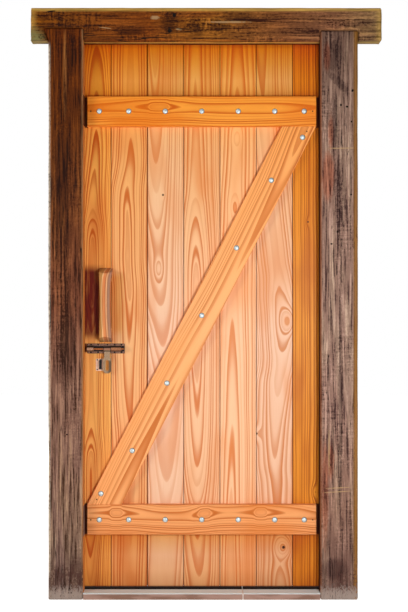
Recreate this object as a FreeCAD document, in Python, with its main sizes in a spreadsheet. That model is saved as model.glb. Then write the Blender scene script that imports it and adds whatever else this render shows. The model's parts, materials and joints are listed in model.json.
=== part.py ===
import FreeCAD, Part
import math
import os
from types import SimpleNamespace

import Sketcher
from FreeCAD import Placement, Rotation, Vector

# A ledged and braced plank door hung in a heavy timber frame.
# X runs to the right as seen from the front, Y from the front to the back, Z upwards.
# The origin lies on the floor, in the middle of the doorway's width and of the frame's depth.

SIZES = {
    # frame timbers
    "frame_depth": 100.0,
    "doorway_half": 445.0,
    "lintel_under": 2100.0,
    "lintel_high": 120.0,
    "lintel_left": 640.0,
    "lintel_right": 674.0,
    "lintel_wear": 6.0,
    "lintel_wane_deep": 41.5,
    "lintel_wane_high": 10.5,
    "left_post_wide": 131.0,
    "right_post_wide": 142.0,
    "post_wear": 5.0,
    "left_lap_high": 44.0,
    "right_lap_high": 35.0,
    "left_lap_flare": 18.0,
    "right_lap_flare": 1.0,
    "lap_thick": 35.0,
    "lap_gap": 3.0,
    # screws that hold each lap from behind
    "lap_screw_wide": 8.0,
    "lap_screw_head": 16.0,
    "lap_screw_grip": 24.0,
    # threshold
    "slab_thick": 24.0,
    "slab_joint_place": 155.0,
    "slab_joint_wide": 4.0,
    "slab_joint_sunk": 1.5,
    "slab_round": 3.0,
    "slab_tail": 12.0,
    # planks of the leaf
    "leaf_thick": 28.0,
    "leaf_lap": 15.0,
    "edge_gap": 3.0,
    "seat_gap": 2.0,
    "sill_gap": 8.5,
    "board_gap": 1.2,
    "wide_board_gap": 3.2,
    "board_bevel": 1.5,
    "tongue_reach": 8.0,
    "groove_front": 10.0,
    "groove_wide": 8.0,
    "tongue_clear": 0.3,
    # ledges and brace
    "ledge_gap": 10.0,
    "ledge_high": 114.0,
    "ledge_thick": 25.0,
    "ledge_bevel": 2.0,
    "top_ledge_level": 1841.0,
    "bottom_ledge_level": 291.0,
    "brace_foot": 131.0,
    # coach bolts with washers and nuts
    "bolt_wide": 8.0,
    "bolt_head_wide": 20.6,
    "bolt_head_high": 4.6,
    "bolt_neck_long": 5.0,
    "bolt_end": 5.0,
    "bolt_end_bevel": 1.0,
    "bolt_hole_clear": 0.3,
    "brace_bolt_pitch": 132.0,
    "brace_bolt_rise": 42.0,
    "washer_wide": 24.0,
    "washer_thick": 2.0,
    "nut_wide": 13.0,
    "nut_thick": 6.5,
    # small nails at the ends of ledges and brace
    "nail_wide": 3.0,
    "nail_head": 5.0,
    "nail_head_thick": 0.8,
    "nail_bite": 14.0,
    "nail_rise": 20.0,
    # hinges on the back
    "hinge_pin_wide": 10.0,
    "knuckle_wall": 3.5,
    "knuckle_lift": 0.5,
    "strap_long": 352.0,
    "strap_root": 40.0,
    "strap_high": 50.0,
    "strap_tip_high": 30.0,
    "strap_thick": 4.0,
    "plate_reach": 60.0,
    "plate_knuckle_long": 38.0,
    "hinge_end_gap": 0.4,
    "hinge_side_gap": 1.0,
    "pin_fit": 0.05,
    "pin_running": 0.09,
    "pin_head_wide": 16.0,
    "pin_head_high": 4.0,
    "plate_screw_wide": 5.0,
    "plate_screw_head": 10.0,
    "plate_screw_long": 45.0,
    # pull handle
    "handle_wide": 50.0,
    "handle_long": 285.0,
    "handle_stand": 58.0,
    "handle_grip": 27.0,
    "handle_foot": 50.0,
    "handle_slope": 22.0,
    "handle_bevel": 13.0,
    "handle_waist": 4.5,
    "handle_round": 9.0,
    "handle_above_bolt": 4.0,
    "handle_screw_wide": 6.0,
    "handle_screw_head": 12.0,
    "handle_screw_bite": 30.0,
    # sliding bolt
    "latch_level": 940.0,
    "latch_inset": 23.0,
    "latch_plate_long": 143.0,
    "latch_plate_high": 38.0,
    "latch_plate_thick": 2.5,
    "latch_plate_round": 3.0,
    "rod_stand": 23.0,
    "rod_wide": 10.0,
    "rod_inset": 2.0,
    "rod_nose": 2.0,
    "rod_travel": 29.0,
    "rod_running": 0.1,
    "rod_bore_clear": 0.6,
    "rod_bore_spare": 6.0,
    "cuff_thick": 5.5,
    "left_cuff_wide": 24.0,
    "right_cuff_wide": 38.5,
    "right_cuff_inset": 11.0,
    "collar_wide": 3.5,
    "collar_thick": 3.0,
    "collar_gap": 0.7,
    "collar_fit": 0.05,
    # hasp
    "hasp_side_gap": 0.3,
    "hasp_wide": 22.0,
    "hasp_thick": 2.6,
    "hasp_wall": 3.0,
    "hasp_eye_drop": 63.5,
    "hasp_eye_wide": 12.0,
    "hasp_eye_high": 40.0,
    "hasp_ring_wide": 30.0,
    "hasp_ring_top": 5.0,
    "hasp_ring_toe": 10.5,
    "hasp_shoulder": 5.0,
    "hasp_round": 13.0,
    # staple
    "staple_wire": 4.5,
    "staple_high": 35.0,
    "staple_rise": 1.4,
    "staple_clear": 1.2,
    "staple_hole_clear": 0.1,
    "staple_bite": 12.0,
    "staple_bend": 6.0,
    "staple_plate_wide": 32.0,
    "staple_plate_high": 46.0,
    "staple_plate_round": 3.0,
    # small screws of the bolt and of the staple plate
    "small_screw_wide": 3.0,
    "small_screw_head": 5.5,
    "small_screw_rise": 1.2,
    "small_screw_long": 15.0,
    "small_screw_edge": 4.3,
    "staple_screw_side": 10.5,
    # overrun of every cutting outline past the solid that it opens, and the play of a driven shank
    "overrun": 2.0,
    "drive_fit": 0.05,
}

# Places along the sliding bolt's plate, as shares of its length.
LATCH_SCREW_SHARES = (0.10, 0.29, 0.54, 0.73, 0.91)
# Places of the lap screws, as shares of the post's width.
LAP_SCREW_SHARES = (0.3, 0.7)
# Screws of a hinge plate: across its reach and up its half height, as shares.
PLATE_SCREW_REACH_SHARES = (0.42, 0.8)
PLATE_SCREW_HEIGHT_SHARE = 0.72
# The screws of the handle sit at this share of the foot's height.
HANDLE_SCREW_SHARE = 0.5
# From one board joint to the next, as a share of half the leaf's width.
BOARD_SHARE = 0.3011
# Fasteners on the two edge boards, as shares of the way from the outer joint to the ledge's end.
EDGE_BOLT_SHARE = 0.48
BRACE_BOLT_SHARE = 0.41
EDGE_NAIL_SHARE = 0.84
BRACE_NAIL_SHARE = 0.59
# The handle's middle, as a share of the way from the outer joint to the leaf's edge.
HANDLE_SHARE = 0.165
# The flat top of a screw's head, as a share of the head's width.
HEAD_TOP_SHARE = 0.6
BOARDS = 7
WIDE_JOINT = 2
SHEET = "Sizes"


class Size:
    """A length that knows its number in millimetres and the sheet formula behind it."""

    def __init__(self, number, formula):
        self.number = number
        self.formula = formula

    def __add__(self, other):
        return Size(self.number + other.number, f"({self.formula} + {other.formula})")

    def __sub__(self, other):
        return Size(self.number - other.number, f"({self.formula} - {other.formula})")

    def __neg__(self):
        return Size(-self.number, f"(-1 * {self.formula})")

    def __mul__(self, share):
        return Size(self.number * share, f"({self.formula} * {share})")

    def __truediv__(self, share):
        return Size(self.number / share, f"({self.formula} / {share})")

    def per(self, other):
        """The plain ratio of this length to another one."""
        return Ratio(self.number / other.number, f"({self.formula} / {other.formula})")


class Ratio:
    """A plain ratio of two lengths, which scales a third one."""

    def __init__(self, number, formula):
        self.number = number
        self.formula = formula

    def of(self, size):
        return Size(self.number * size.number, f"({self.formula} * {size.formula})")


ZERO = Size(0.0, "0")


def make_sheet(doc):
    sheet = doc.addObject("Spreadsheet::Sheet", SHEET)
    for row, (word, value) in enumerate(SIZES.items(), start=1):
        sheet.set(f"A{row}", word)
        sheet.set(f"B{row}", str(value))
        sheet.setAlias(f"B{row}", word)
    doc.recompute()
    return sheet


def read_sizes(sheet):
    return SimpleNamespace(**{word: Size(float(sheet.get(word)), f"{SHEET}.{word}") for word in SIZES})


def add_derived(s):
    """Places and sizes that follow from the sheet's own ones."""
    s.back = s.frame_depth / 2
    s.front = -s.back
    s.slab_back = s.back + s.slab_tail
    s.rebate_deep = s.leaf_thick + s.seat_gap
    s.rebate_wide = s.leaf_lap + s.edge_gap
    s.leaf_half = s.doorway_half + s.leaf_lap
    s.leaf_front = s.back - s.leaf_thick
    s.leaf_bottom = s.slab_thick + s.sill_gap
    s.leaf_high = s.lintel_under + s.leaf_lap - s.leaf_bottom
    s.ledge_half = s.doorway_half - s.ledge_gap
    s.ledge_front = s.leaf_front - s.ledge_thick
    s.brace_bottom = s.bottom_ledge_level + s.ledge_high / 2
    s.brace_top = s.top_ledge_level - s.ledge_high / 2
    s.knuckle_radius = s.hinge_pin_wide / 2 + s.knuckle_wall
    s.hinge_set = s.knuckle_radius + s.knuckle_lift
    s.hinge_x = s.leaf_half + s.edge_gap / 2
    s.hinge_y = s.back + s.hinge_set
    s.plate_half_high = s.strap_high / 2 + s.hinge_end_gap + s.plate_knuckle_long
    s.board_pitch = s.leaf_half * BOARD_SHARE
    s.outer_joint = s.board_pitch * (BOARDS / 2 - 1)
    s.handle_x = -(s.outer_joint + (s.leaf_half - s.outer_joint) * HANDLE_SHARE)
    s.handle_low = s.latch_level + s.latch_plate_high / 2 + s.handle_above_bolt
    s.latch_left = s.latch_inset - s.leaf_half
    s.latch_right = s.latch_left + s.latch_plate_long
    s.rod_left = s.latch_left + s.rod_inset
    s.rod_long = s.latch_plate_long - s.rod_inset * 2
    s.rod_y = s.leaf_front - s.rod_stand
    s.rod_bore_wide = s.rod_wide + s.rod_bore_clear * 2
    s.rod_bore_deep = s.rod_travel + s.rod_bore_spare - s.doorway_half - s.rod_left
    s.cuff_half_inner = s.rod_wide / 2 + s.rod_running
    s.cuff_half_outer = s.cuff_half_inner + s.cuff_thick
    s.right_cuff_left = s.latch_right - s.right_cuff_inset - s.right_cuff_wide
    s.right_collar_left = s.right_cuff_left - s.collar_gap - s.collar_wide
    s.hasp_x = s.right_collar_left - s.hasp_side_gap - s.hasp_wide / 2
    s.left_collar_left = s.hasp_x - s.hasp_wide / 2 - s.hasp_side_gap - s.collar_wide
    s.staple_x = s.hasp_x - s.rod_travel
    s.staple_level = s.latch_level - s.hasp_eye_drop + s.staple_rise
    s.staple_stand = s.rod_stand - s.hasp_thick / 2 - s.staple_clear
    s.bolt_hole = s.bolt_wide + s.bolt_hole_clear * 2
    s.nail_hole = s.nail_wide + s.drive_fit * 2
    s.small_screw_hole = s.small_screw_wide + s.drive_fit * 2
    s.plate_screw_hole = s.plate_screw_wide + s.drive_fit * 2
    s.handle_screw_hole = s.handle_screw_wide + s.drive_fit * 2
    s.lap_screw_hole = s.lap_screw_wide + s.drive_fit * 2
    s.staple_hole = s.staple_wire + s.staple_hole_clear * 2


# Sketches and features


def new_body(doc, name, x, y, z):
    """A body whose own origin stands at the three sizes."""
    body = doc.addObject("PartDesign::Body", name)
    body.Label = name
    for axis, size in (("x", x), ("y", y), ("z", z)):
        body.setExpression(f"Placement.Base.{axis}", size.formula)
    return body


def new_sketch(body, name, role, lift=ZERO):
    """A sketch on one of the body's own planes, lifted along the plane's normal."""
    plane = next(item for item in body.Origin.OriginFeatures if item.Role == role)
    sketch = body.newObject("Sketcher::SketchObject", f"{body.Name}_{name}")
    sketch.AttachmentSupport = [(plane, "")]
    sketch.MapMode = "FlatFace"
    sketch.setExpression("AttachmentOffset.Base.z", lift.formula)
    return sketch


def hold(sketch, rules):
    """Adds rules, each with the size that drives it, or with None."""
    first = sketch.ConstraintCount
    sketch.addConstraint([rule for rule, size in rules])
    for index, (rule, size) in enumerate(rules):
        if size is not None:
            sketch.setExpression(f"Constraints[{first + index}]", size.formula)


def draw_outline(sketch, corners):
    """A closed outline with straight sides, each corner held by its two sizes."""
    first = sketch.GeometryCount
    places = [Vector(x.number, y.number, 0) for x, y in corners]
    sides = [Part.LineSegment(a, b) for a, b in zip(places, places[1:] + places[:1])]
    sketch.addGeometry(sides, False)
    last = len(corners) - 1
    rules = []
    for index, (x, y) in enumerate(corners):
        before = first + (index - 1 if index else last)
        rules.append((Sketcher.Constraint("Coincident", before, 2, first + index, 1), None))
        rules.append((Sketcher.Constraint("DistanceX", -1, 1, first + index, 1, x.number), x))
        rules.append((Sketcher.Constraint("DistanceY", -1, 1, first + index, 1, y.number), y))
    hold(sketch, rules)


def draw_rectangle(sketch, low_x, low_y, high_x, high_y):
    draw_outline(sketch, [(low_x, low_y), (high_x, low_y), (high_x, high_y), (low_x, high_y)])


def draw_circle(sketch, x, y, wide):
    index = sketch.GeometryCount
    circle = Part.Circle(Vector(x.number, y.number, 0), Vector(0, 0, 1), wide.number / 2)
    sketch.addGeometry(circle, False)
    rules = [
        (Sketcher.Constraint("DistanceX", -1, 1, index, 3, x.number), x),
        (Sketcher.Constraint("DistanceY", -1, 1, index, 3, y.number), y),
        (Sketcher.Constraint("Diameter", index, wide.number), wide),
    ]
    hold(sketch, rules)


def pad(body, sketch, length, middle=False, back=False):
    """Raises the sketch by the length, to both sides if middle, against its normal if back."""
    feature = body.newObject("PartDesign::Pad", sketch.Name + "_pad")
    feature.Profile = sketch
    feature.setExpression("Length", length.formula)
    feature.Midplane = middle
    feature.Reversed = back
    return feature


def pocket(body, sketch, length, middle=False, forward=False):
    """Cuts the sketch against its normal, or along it if forward."""
    feature = body.newObject("PartDesign::Pocket", sketch.Name + "_cut")
    feature.Profile = sketch
    feature.setExpression("Length", length.formula)
    feature.Midplane = middle
    feature.Reversed = forward
    return feature


def soften(body, kind, size, test):
    """Rounds (Fillet) or bevels (Chamfer) the edges that pass the test, by the size."""
    body.Document.recompute()
    base = body.Tip
    names = []
    for index, edge in enumerate(base.Shape.Edges, start=1):
        box = edge.BoundBox
        if test(box):
            names.append(f"Edge{index}")
    feature = body.newObject(f"PartDesign::{kind}", f"{body.Name}_{kind}")
    feature.Base = (base, names)
    feature.setExpression("Radius" if kind == "Fillet" else "Size", size.formula)
    return feature


def near(value, size):
    return math.isclose(value, size.number, abs_tol=1e-4)


def lies_at(low, high, size):
    """True where both ends of a span are at the size."""
    return near(low, size) and near(high, size)


def drill(body, name, lift, holes, deep, wide, forward=False):
    """One cut with a round hole of the same width at each place, seen from the front."""
    if not holes:
        return
    sketch = new_sketch(body, name, "XZ_Plane", lift)
    for x, z in holes:
        draw_circle(sketch, x, z, wide)
    pocket(body, sketch, deep, forward=forward)


def drill_squares(body, name, lift, holes, deep, wide):
    """One cut with a square hole of the same width at each place, seen from the front."""
    sketch = new_sketch(body, name, "XZ_Plane", lift)
    half = wide / 2
    for x, z in holes:
        draw_rectangle(sketch, x - half, z - half, x + half, z + half)
    pocket(body, sketch, deep)


# Turned and repeated pieces


def turned(profile, dome=None):
    """A solid of revolution about Z from (radius, level) corners; dome is the arc's middle point."""
    points = [Vector(radius.number, 0, level.number) for radius, level in profile]
    edges = []
    if dome is not None:
        middle = Vector(dome[0].number, 0, dome[1].number)
        edges.append(Part.Arc(points[0], middle, points[1]).toShape())
        points = points[1:] + points[:1]
        pairs = zip(points[:-1], points[1:])
    else:
        pairs = zip(points, points[1:] + points[:1])
    edges += [Part.makeLine(a, b) for a, b in pairs]
    face = Part.Face(Part.Wire(edges))
    return face.revolve(Vector(0, 0, 0), Vector(0, 0, 1), 360)


def copies(shape, places, direction):
    """A group of separate copies, each with its own Z turned to the direction."""
    group = []
    for x, y, z in places:
        copy = shape.copy()
        copy.Placement = Placement(Vector(x.number, y.number, z.number), Rotation(Vector(0, 0, 1), direction))
        group.append(copy)
    return Part.makeCompound(group)


def add_shape(doc, name, shape):
    """A piece whose shape is made from the sheet's sizes directly."""
    feature = doc.addObject("Part::Feature", name)
    feature.Label = name
    feature.Shape = shape
    feature.Placement = Placement()
    return feature


INTO_WOOD = Vector(0, 1, 0)
FROM_BEHIND = Vector(0, -1, 0)
UPWARDS = Vector(0, 0, 1)


def domed(head, dome_high, shank, long, tip):
    """Domed head over a shank, along Z from the seat of the head at zero."""
    half_turn = math.radians(45)
    middle = (head / 2 * math.sin(half_turn), -dome_high * math.cos(half_turn))
    end = [(shank / 2, long - tip), (shank / 2 - tip, long), (ZERO, long)]
    return turned([(ZERO, -dome_high), (head / 2, ZERO), (shank / 2, ZERO)] + end, dome=middle)


def pan_headed(head, high, shank, long):
    """Low head with a flat top and a sloped rim, plain shank with a point."""
    top = (ZERO, -high), (head / 2 * HEAD_TOP_SHARE, -high)
    return turned([*top, (head / 2, ZERO), (shank / 2, ZERO), (shank / 2, long - shank), (ZERO, long)])


def countersunk(head, shank, long):
    """Flat head level with its surface, cone under it, plain shank with a point."""
    radius = head / 2
    neck = (head - shank) / 2
    tip = long - shank
    return turned([(ZERO, ZERO), (radius, ZERO), (shank / 2, neck), (shank / 2, tip), (ZERO, long)])


# Frame


def lap_outline(s, side, width, high, flare, base, gap):
    """The lap on a post's head, in the face of the frame; gap widens it to its housing."""
    inner = -gap
    outer = width + gap
    corners = [(inner, base), (outer, base), (outer, ZERO), (outer + flare, high + gap), (inner, high + gap)]
    if near(base.number, ZERO):
        corners.pop(1)
    return [(x * side, z) for x, z in corners]


def make_post(doc, s, name, side, width, lap_high, lap_flare):
    """A rebated post with a lap on its head that runs up over the face of the head beam."""
    body = new_body(doc, name, s.doorway_half * side, ZERO, ZERO)
    section = new_sketch(body, "section", "XY_Plane")
    step = s.back - s.rebate_deep
    corners = [(ZERO, s.front), (width, s.front), (width, s.back)]
    corners += [(s.rebate_wide, s.back), (s.rebate_wide, step), (ZERO, step)]
    draw_outline(section, [(x * side, y) for x, y in corners])
    pad(body, section, s.lintel_under)
    lap = new_sketch(body, "lap", "XZ_Plane", s.back)
    raised = lap_outline(s, side, width, lap_high, lap_flare, ZERO, ZERO)
    draw_outline(lap, [(x, z + s.lintel_under) for x, z in raised])
    pad(body, lap, s.lap_thick, back=True)

    def worn(box):
        upright = box.ZLength > s.lap_thick.number
        return upright and lies_at(box.YMin, box.YMax, s.front)

    soften(body, "Fillet", s.post_wear, worn)
    places = [(width * (side * share), s.lintel_under + lap_high / 2) for share in LAP_SCREW_SHARES]
    drill(body, "lap_holes", s.back - s.lap_thick, places, s.lap_screw_grip, s.lap_screw_hole, forward=True)
    return body


def make_left_post(doc, s):
    body = make_post(doc, s, "left_post", -1, s.left_post_wide, s.left_lap_high, s.left_lap_flare)
    bore = new_sketch(body, "bore", "YZ_Plane")
    draw_circle(bore, s.rod_y, s.latch_level, s.rod_bore_wide)
    pocket(body, bore, s.rod_bore_deep)


def make_right_post(doc, s):
    body = make_post(doc, s, "right_post", 1, s.right_post_wide, s.right_lap_high, s.right_lap_flare)
    places = []
    for level in (s.top_ledge_level, s.bottom_ledge_level):
        places += [(x - s.doorway_half, z) for x, z in hinge_screw_places(s, level)]
    deep = s.plate_screw_long - s.strap_thick + s.overrun
    drill(body, "hinge_holes", s.front, places, deep, s.plate_screw_hole, forward=True)


def make_lintel(doc, s):
    """The head beam: housed in its face for both laps and rebated behind for the leaf."""
    body = new_body(doc, "lintel", ZERO, ZERO, s.lintel_under)
    face = new_sketch(body, "face", "XZ_Plane")
    draw_rectangle(face, -s.lintel_left, ZERO, s.lintel_right, s.lintel_high)
    pad(body, face, s.frame_depth, middle=True)
    laps = (
        ("left", -1, s.left_post_wide, s.left_lap_high, s.left_lap_flare),
        ("right", 1, s.right_post_wide, s.right_lap_high, s.right_lap_flare),
    )
    for word, side, width, high, flare in laps:
        housing = new_sketch(body, f"{word}_housing", "XZ_Plane", s.back)
        outline = lap_outline(s, side, width, high, flare, -s.overrun, s.lap_gap)
        draw_outline(housing, [(x + s.doorway_half * side, z) for x, z in outline])
        pocket(body, housing, s.lap_thick)
    rebate = new_sketch(body, "rebate", "XZ_Plane", s.front)
    reach = s.doorway_half + s.rebate_wide
    draw_rectangle(rebate, -reach, -s.overrun, reach, s.rebate_wide)
    pocket(body, rebate, s.rebate_deep, forward=True)

    def worn(box):
        long_edge = box.XLength > s.left_post_wide.number
        return long_edge and lies_at(box.YMin, box.YMax, s.front) and box.ZLength < s.lap_gap.number

    soften(body, "Fillet", s.lintel_wear, worn)
    for word, side, width, reach in (("left", -1, s.left_post_wide, s.lintel_left),
                                     ("right", 1, s.right_post_wide, s.lintel_right)):
        start = s.doorway_half + width
        cut_wane(body, s, f"{word}_wane", start * side, reach - start, side > 0)
    places = [(x, z - s.lintel_under) for x, z in lap_screw_places(s, -1) + lap_screw_places(s, 1)]
    deep = s.frame_depth - s.lap_thick + s.overrun
    drill(body, "lap_holes", s.front - s.overrun, places, deep + s.overrun, s.lap_screw_hole, forward=True)
    sink = new_sketch(body, "sinks", "XZ_Plane", s.front)
    for x, z in places:
        draw_circle(sink, x, z, s.lap_screw_head + s.drive_fit * 2)
    pocket(body, sink, lap_screw_neck(s), forward=True)


def cut_wane(body, s, name, start, long, forward):
    """Takes off the beam's lower back edge past a post, where the log had no square edge."""
    section = new_sketch(body, name, "YZ_Plane", start)
    inner = s.back - s.lintel_wane_deep
    corners = [(inner, ZERO), (inner, -s.overrun), (s.back + s.overrun, -s.overrun)]
    corners += [(s.back + s.overrun, s.lintel_wane_high), (s.back, s.lintel_wane_high)]
    draw_outline(section, corners)
    pocket(body, section, long + s.overrun, forward=forward)


def lap_screw_neck(s):
    return (s.lap_screw_head - s.lap_screw_wide) / 2


def lap_screw_places(s, side):
    """Centres of one lap's screws, in the face of the frame."""
    width, high = (s.left_post_wide, s.left_lap_high) if side < 0 else (s.right_post_wide, s.right_lap_high)
    return [((s.doorway_half + width * share) * side, s.lintel_under + high / 2) for share in LAP_SCREW_SHARES]


def make_lap_screws(doc, s):
    """Long screws driven from behind through the head beam into each lap."""
    through = s.frame_depth - s.lap_thick
    long = through + s.lap_screw_grip - s.overrun
    screw = countersunk(s.lap_screw_head, s.lap_screw_wide, long)
    for word, side in (("left", -1), ("right", 1)):
        places = [(x, s.back, z) for x, z in lap_screw_places(s, side)]
        add_shape(doc, f"{word}_lap_screws", copies(screw, places, FROM_BEHIND))


def make_slab(doc, s, name, left, right):
    """One stone of the threshold: its front top edge worn round, its tail out behind the frame."""
    body = new_body(doc, name, ZERO, ZERO, ZERO)
    plan = new_sketch(body, "plan", "XY_Plane")
    draw_rectangle(plan, left, s.front, right, s.slab_back)
    pad(body, plan, s.slab_thick)

    def worn(box):
        return lies_at(box.YMin, box.YMax, s.front) and lies_at(box.ZMin, box.ZMax, s.slab_thick)

    soften(body, "Fillet", s.slab_round, worn)


def make_threshold(doc, s):
    left_end = s.slab_joint_place - s.slab_joint_wide / 2
    right_start = s.slab_joint_place + s.slab_joint_wide / 2
    make_slab(doc, s, "threshold_slab_left", -s.doorway_half, left_end)
    make_slab(doc, s, "threshold_slab_right", right_start, s.doorway_half)
    mortar = new_body(doc, "threshold_joint", ZERO, ZERO, ZERO)
    plan = new_sketch(mortar, "plan", "XY_Plane")
    rear = s.slab_back - s.slab_joint_sunk
    draw_rectangle(plan, left_end, s.front + s.slab_joint_sunk, right_start, rear)
    pad(mortar, plan, s.slab_thick - s.slab_joint_sunk)


# Leaf


def joint_places(s):
    """The seven boards' edges across the leaf, from left to right."""
    inner = [s.board_pitch * (index - BOARDS / 2) for index in range(1, BOARDS)]
    return [-s.leaf_half] + inner + [s.leaf_half]


def half_gap(s, joint):
    """Half of the open gap at a joint; the leaf's own two edges have none."""
    if joint in (0, BOARDS):
        return ZERO
    return (s.wide_board_gap if joint == WIDE_JOINT else s.board_gap) / 2


def plank_outline(s, number, width):
    """A board's section: grooved on its left, tongued on its right, bevelled in front."""
    left = half_gap(s, number)
    right = width - half_gap(s, number + 1)
    bevel = s.board_bevel
    groove_back = s.groove_front + s.groove_wide
    corners = [(left + bevel, ZERO), (right - bevel, ZERO), (right, bevel)]
    if number < BOARDS - 1:
        tip = width + s.tongue_reach
        near_side = s.groove_front + s.tongue_clear
        far_side = groove_back - s.tongue_clear
        corners += [(right, near_side), (tip, near_side), (tip, far_side), (right, far_side)]
    corners += [(right, s.leaf_thick), (left, s.leaf_thick)]
    if number > 0:
        floor = s.tongue_reach + s.tongue_clear
        corners += [(left, groove_back), (floor, groove_back), (floor, s.groove_front), (left, s.groove_front)]
    corners.append((left, bevel))
    return corners


def edge_place(s, share):
    """A place across an edge board, from the outer joint to the ledge's end."""
    return s.outer_joint + (s.ledge_half - s.outer_joint) * share


def ledge_bolt_places(s, level):
    end = edge_place(s, EDGE_BOLT_SHARE)
    inner = [s.board_pitch * step for step in (-2, -1, 0, 1, 2)]
    return [(x, level) for x in [-end] + inner + [end]]


def brace_bolt_places(s):
    """Five bolts up the brace's middle line and one near each end."""
    rise = (s.brace_top - s.brace_bottom).per(s.ledge_half * 2 - s.brace_foot)
    middle = (s.brace_top + s.brace_bottom) / 2
    steps = [s.brace_bolt_pitch * step for step in (-2, -1, 0, 1, 2)]
    line = [(x, middle + rise.of(x)) for x in steps]
    end = edge_place(s, BRACE_BOLT_SHARE)
    low = [(-end, s.brace_bottom + s.brace_bolt_rise)]
    high = [(end, s.brace_top - s.brace_bolt_rise)]
    return low + line + high


def ledge_nail_places(s, level):
    end = edge_place(s, EDGE_NAIL_SHARE)
    return [(-end, level), (end, level)]


def brace_nail_places(s):
    end = edge_place(s, BRACE_NAIL_SHARE)
    return [(-end, s.brace_bottom + s.nail_rise), (end, s.brace_top - s.nail_rise)]


def handle_screw_places(s):
    foot = s.handle_foot * HANDLE_SCREW_SHARE
    return [(s.handle_x, s.handle_low + foot), (s.handle_x, s.handle_low + s.handle_long - foot)]


def latch_screw_places(s):
    edge = s.latch_plate_high / 2 - s.small_screw_edge
    places = []
    for level in (s.latch_level + edge, s.latch_level - edge):
        places += [(s.latch_left + s.latch_plate_long * share, level) for share in LATCH_SCREW_SHARES]
    return places


def staple_screw_places(s):
    edge = s.staple_plate_high / 2 - s.small_screw_edge
    x = s.staple_x - s.staple_screw_side
    return [(x, s.staple_level + edge), (x, s.staple_level - edge)]


def staple_leg_places(s):
    half = (s.staple_high - s.staple_wire) / 2
    return [(s.staple_x, s.staple_level + half), (s.staple_x, s.staple_level - half)]


def leaf_holes(s):
    """Every hole in the boards: its name, places, width and depth from the front."""
    through = s.leaf_thick + s.overrun
    bolts = brace_bolt_places(s)
    nails = brace_nail_places(s)
    for level in (s.top_ledge_level, s.bottom_ledge_level):
        bolts = bolts + ledge_bolt_places(s, level)
        nails = nails + ledge_nail_places(s, level)
    small_deep = s.small_screw_long - s.latch_plate_thick + s.overrun
    return (
        ("bolt_holes", bolts, s.bolt_hole, through),
        ("nail_holes", nails, s.nail_hole, s.nail_bite),
        ("handle_holes", handle_screw_places(s), s.handle_screw_hole, through),
        ("small_holes", latch_screw_places(s) + staple_screw_places(s), s.small_screw_hole, small_deep),
        ("staple_holes", staple_leg_places(s), s.staple_hole, s.staple_bite),
    )


def make_planks(doc, s):
    joints = joint_places(s)
    for number in range(BOARDS):
        left = joints[number]
        width = joints[number + 1] - left
        body = new_body(doc, f"plank_{number + 1}", left, s.leaf_front, s.leaf_bottom)
        section = new_sketch(body, "section", "XY_Plane")
        draw_outline(section, plank_outline(s, number, width))
        pad(body, section, s.leaf_high)
        for name, places, wide, deep in leaf_holes(s):
            low = left - wide / 2
            high = left + width + s.tongue_reach + wide / 2
            mine = [(x - left, z - s.leaf_bottom) for x, z in places if low.number < x.number < high.number]
            drill(body, name, ZERO, mine, deep, wide)
        if number in (0, 1):
            sink_handle_screws(s, body, left, number)


def sink_handle_screws(s, body, left, number):
    """Room behind for the heads of the handle's screws."""
    low, high = joint_places(s)[number:number + 2]
    radius = s.handle_screw_head / 2
    places = handle_screw_places(s)
    over = [(x + radius).number > low.number and (x - radius).number < high.number for x, z in places]
    if not all(over):
        return
    neck = (s.handle_screw_head - s.handle_screw_wide) / 2
    mine = [(x - left, z - s.leaf_bottom) for x, z in places]
    wide = s.handle_screw_head + s.drive_fit * 2
    drill(body, "sinks", -s.leaf_thick, mine, neck, wide, forward=True)


def bevel_front(body, s):
    """Takes the sharp edge off a ledge's or the brace's face."""

    def sharp(box):
        return lies_at(box.YMin, box.YMax, s.ledge_front)

    soften(body, "Chamfer", s.ledge_bevel, sharp)


def make_ledge(doc, s, name, level):
    """A level board across the planks, its front edges bevelled."""
    body = new_body(doc, name, ZERO, ZERO, ZERO)
    face = new_sketch(body, "face", "XZ_Plane", -s.ledge_front)
    half = s.ledge_high / 2
    draw_rectangle(face, -s.ledge_half, level - half, s.ledge_half, level + half)
    pad(body, face, s.ledge_thick, back=True)
    bevel_front(body, s)
    through = s.ledge_thick + s.overrun
    bolts = ledge_bolt_places(s, level)
    drill(body, "bolt_holes", -s.ledge_front, bolts, through, s.bolt_hole)
    drill_squares(body, "neck_holes", -s.ledge_front, bolts, s.bolt_neck_long, s.bolt_hole)
    drill(body, "nail_holes", -s.ledge_front, ledge_nail_places(s, level), through, s.nail_hole)


def make_brace(doc, s):
    """The diagonal, its ends cut level to stand on the bottom ledge and bear up on the top one."""
    body = new_body(doc, "brace", ZERO, ZERO, ZERO)
    face = new_sketch(body, "face", "XZ_Plane", -s.ledge_front)
    foot = s.brace_foot - s.ledge_half
    head = s.ledge_half - s.brace_foot
    corners = [(-s.ledge_half, s.brace_bottom), (foot, s.brace_bottom)]
    corners += [(s.ledge_half, s.brace_top), (head, s.brace_top)]
    draw_outline(face, corners)
    pad(body, face, s.ledge_thick, back=True)
    bevel_front(body, s)
    through = s.ledge_thick + s.overrun
    bolts = brace_bolt_places(s)
    drill(body, "bolt_holes", -s.ledge_front, bolts, through, s.bolt_hole)
    drill_squares(body, "neck_holes", -s.ledge_front, bolts, s.bolt_neck_long, s.bolt_hole)
    drill(body, "nail_holes", -s.ledge_front, brace_nail_places(s), through, s.nail_hole)


def on_strap(s, x):
    """True where a ledge bolt also passes through the hinge strap."""
    return x.number > s.hinge_x.number - s.strap_long.number


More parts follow.
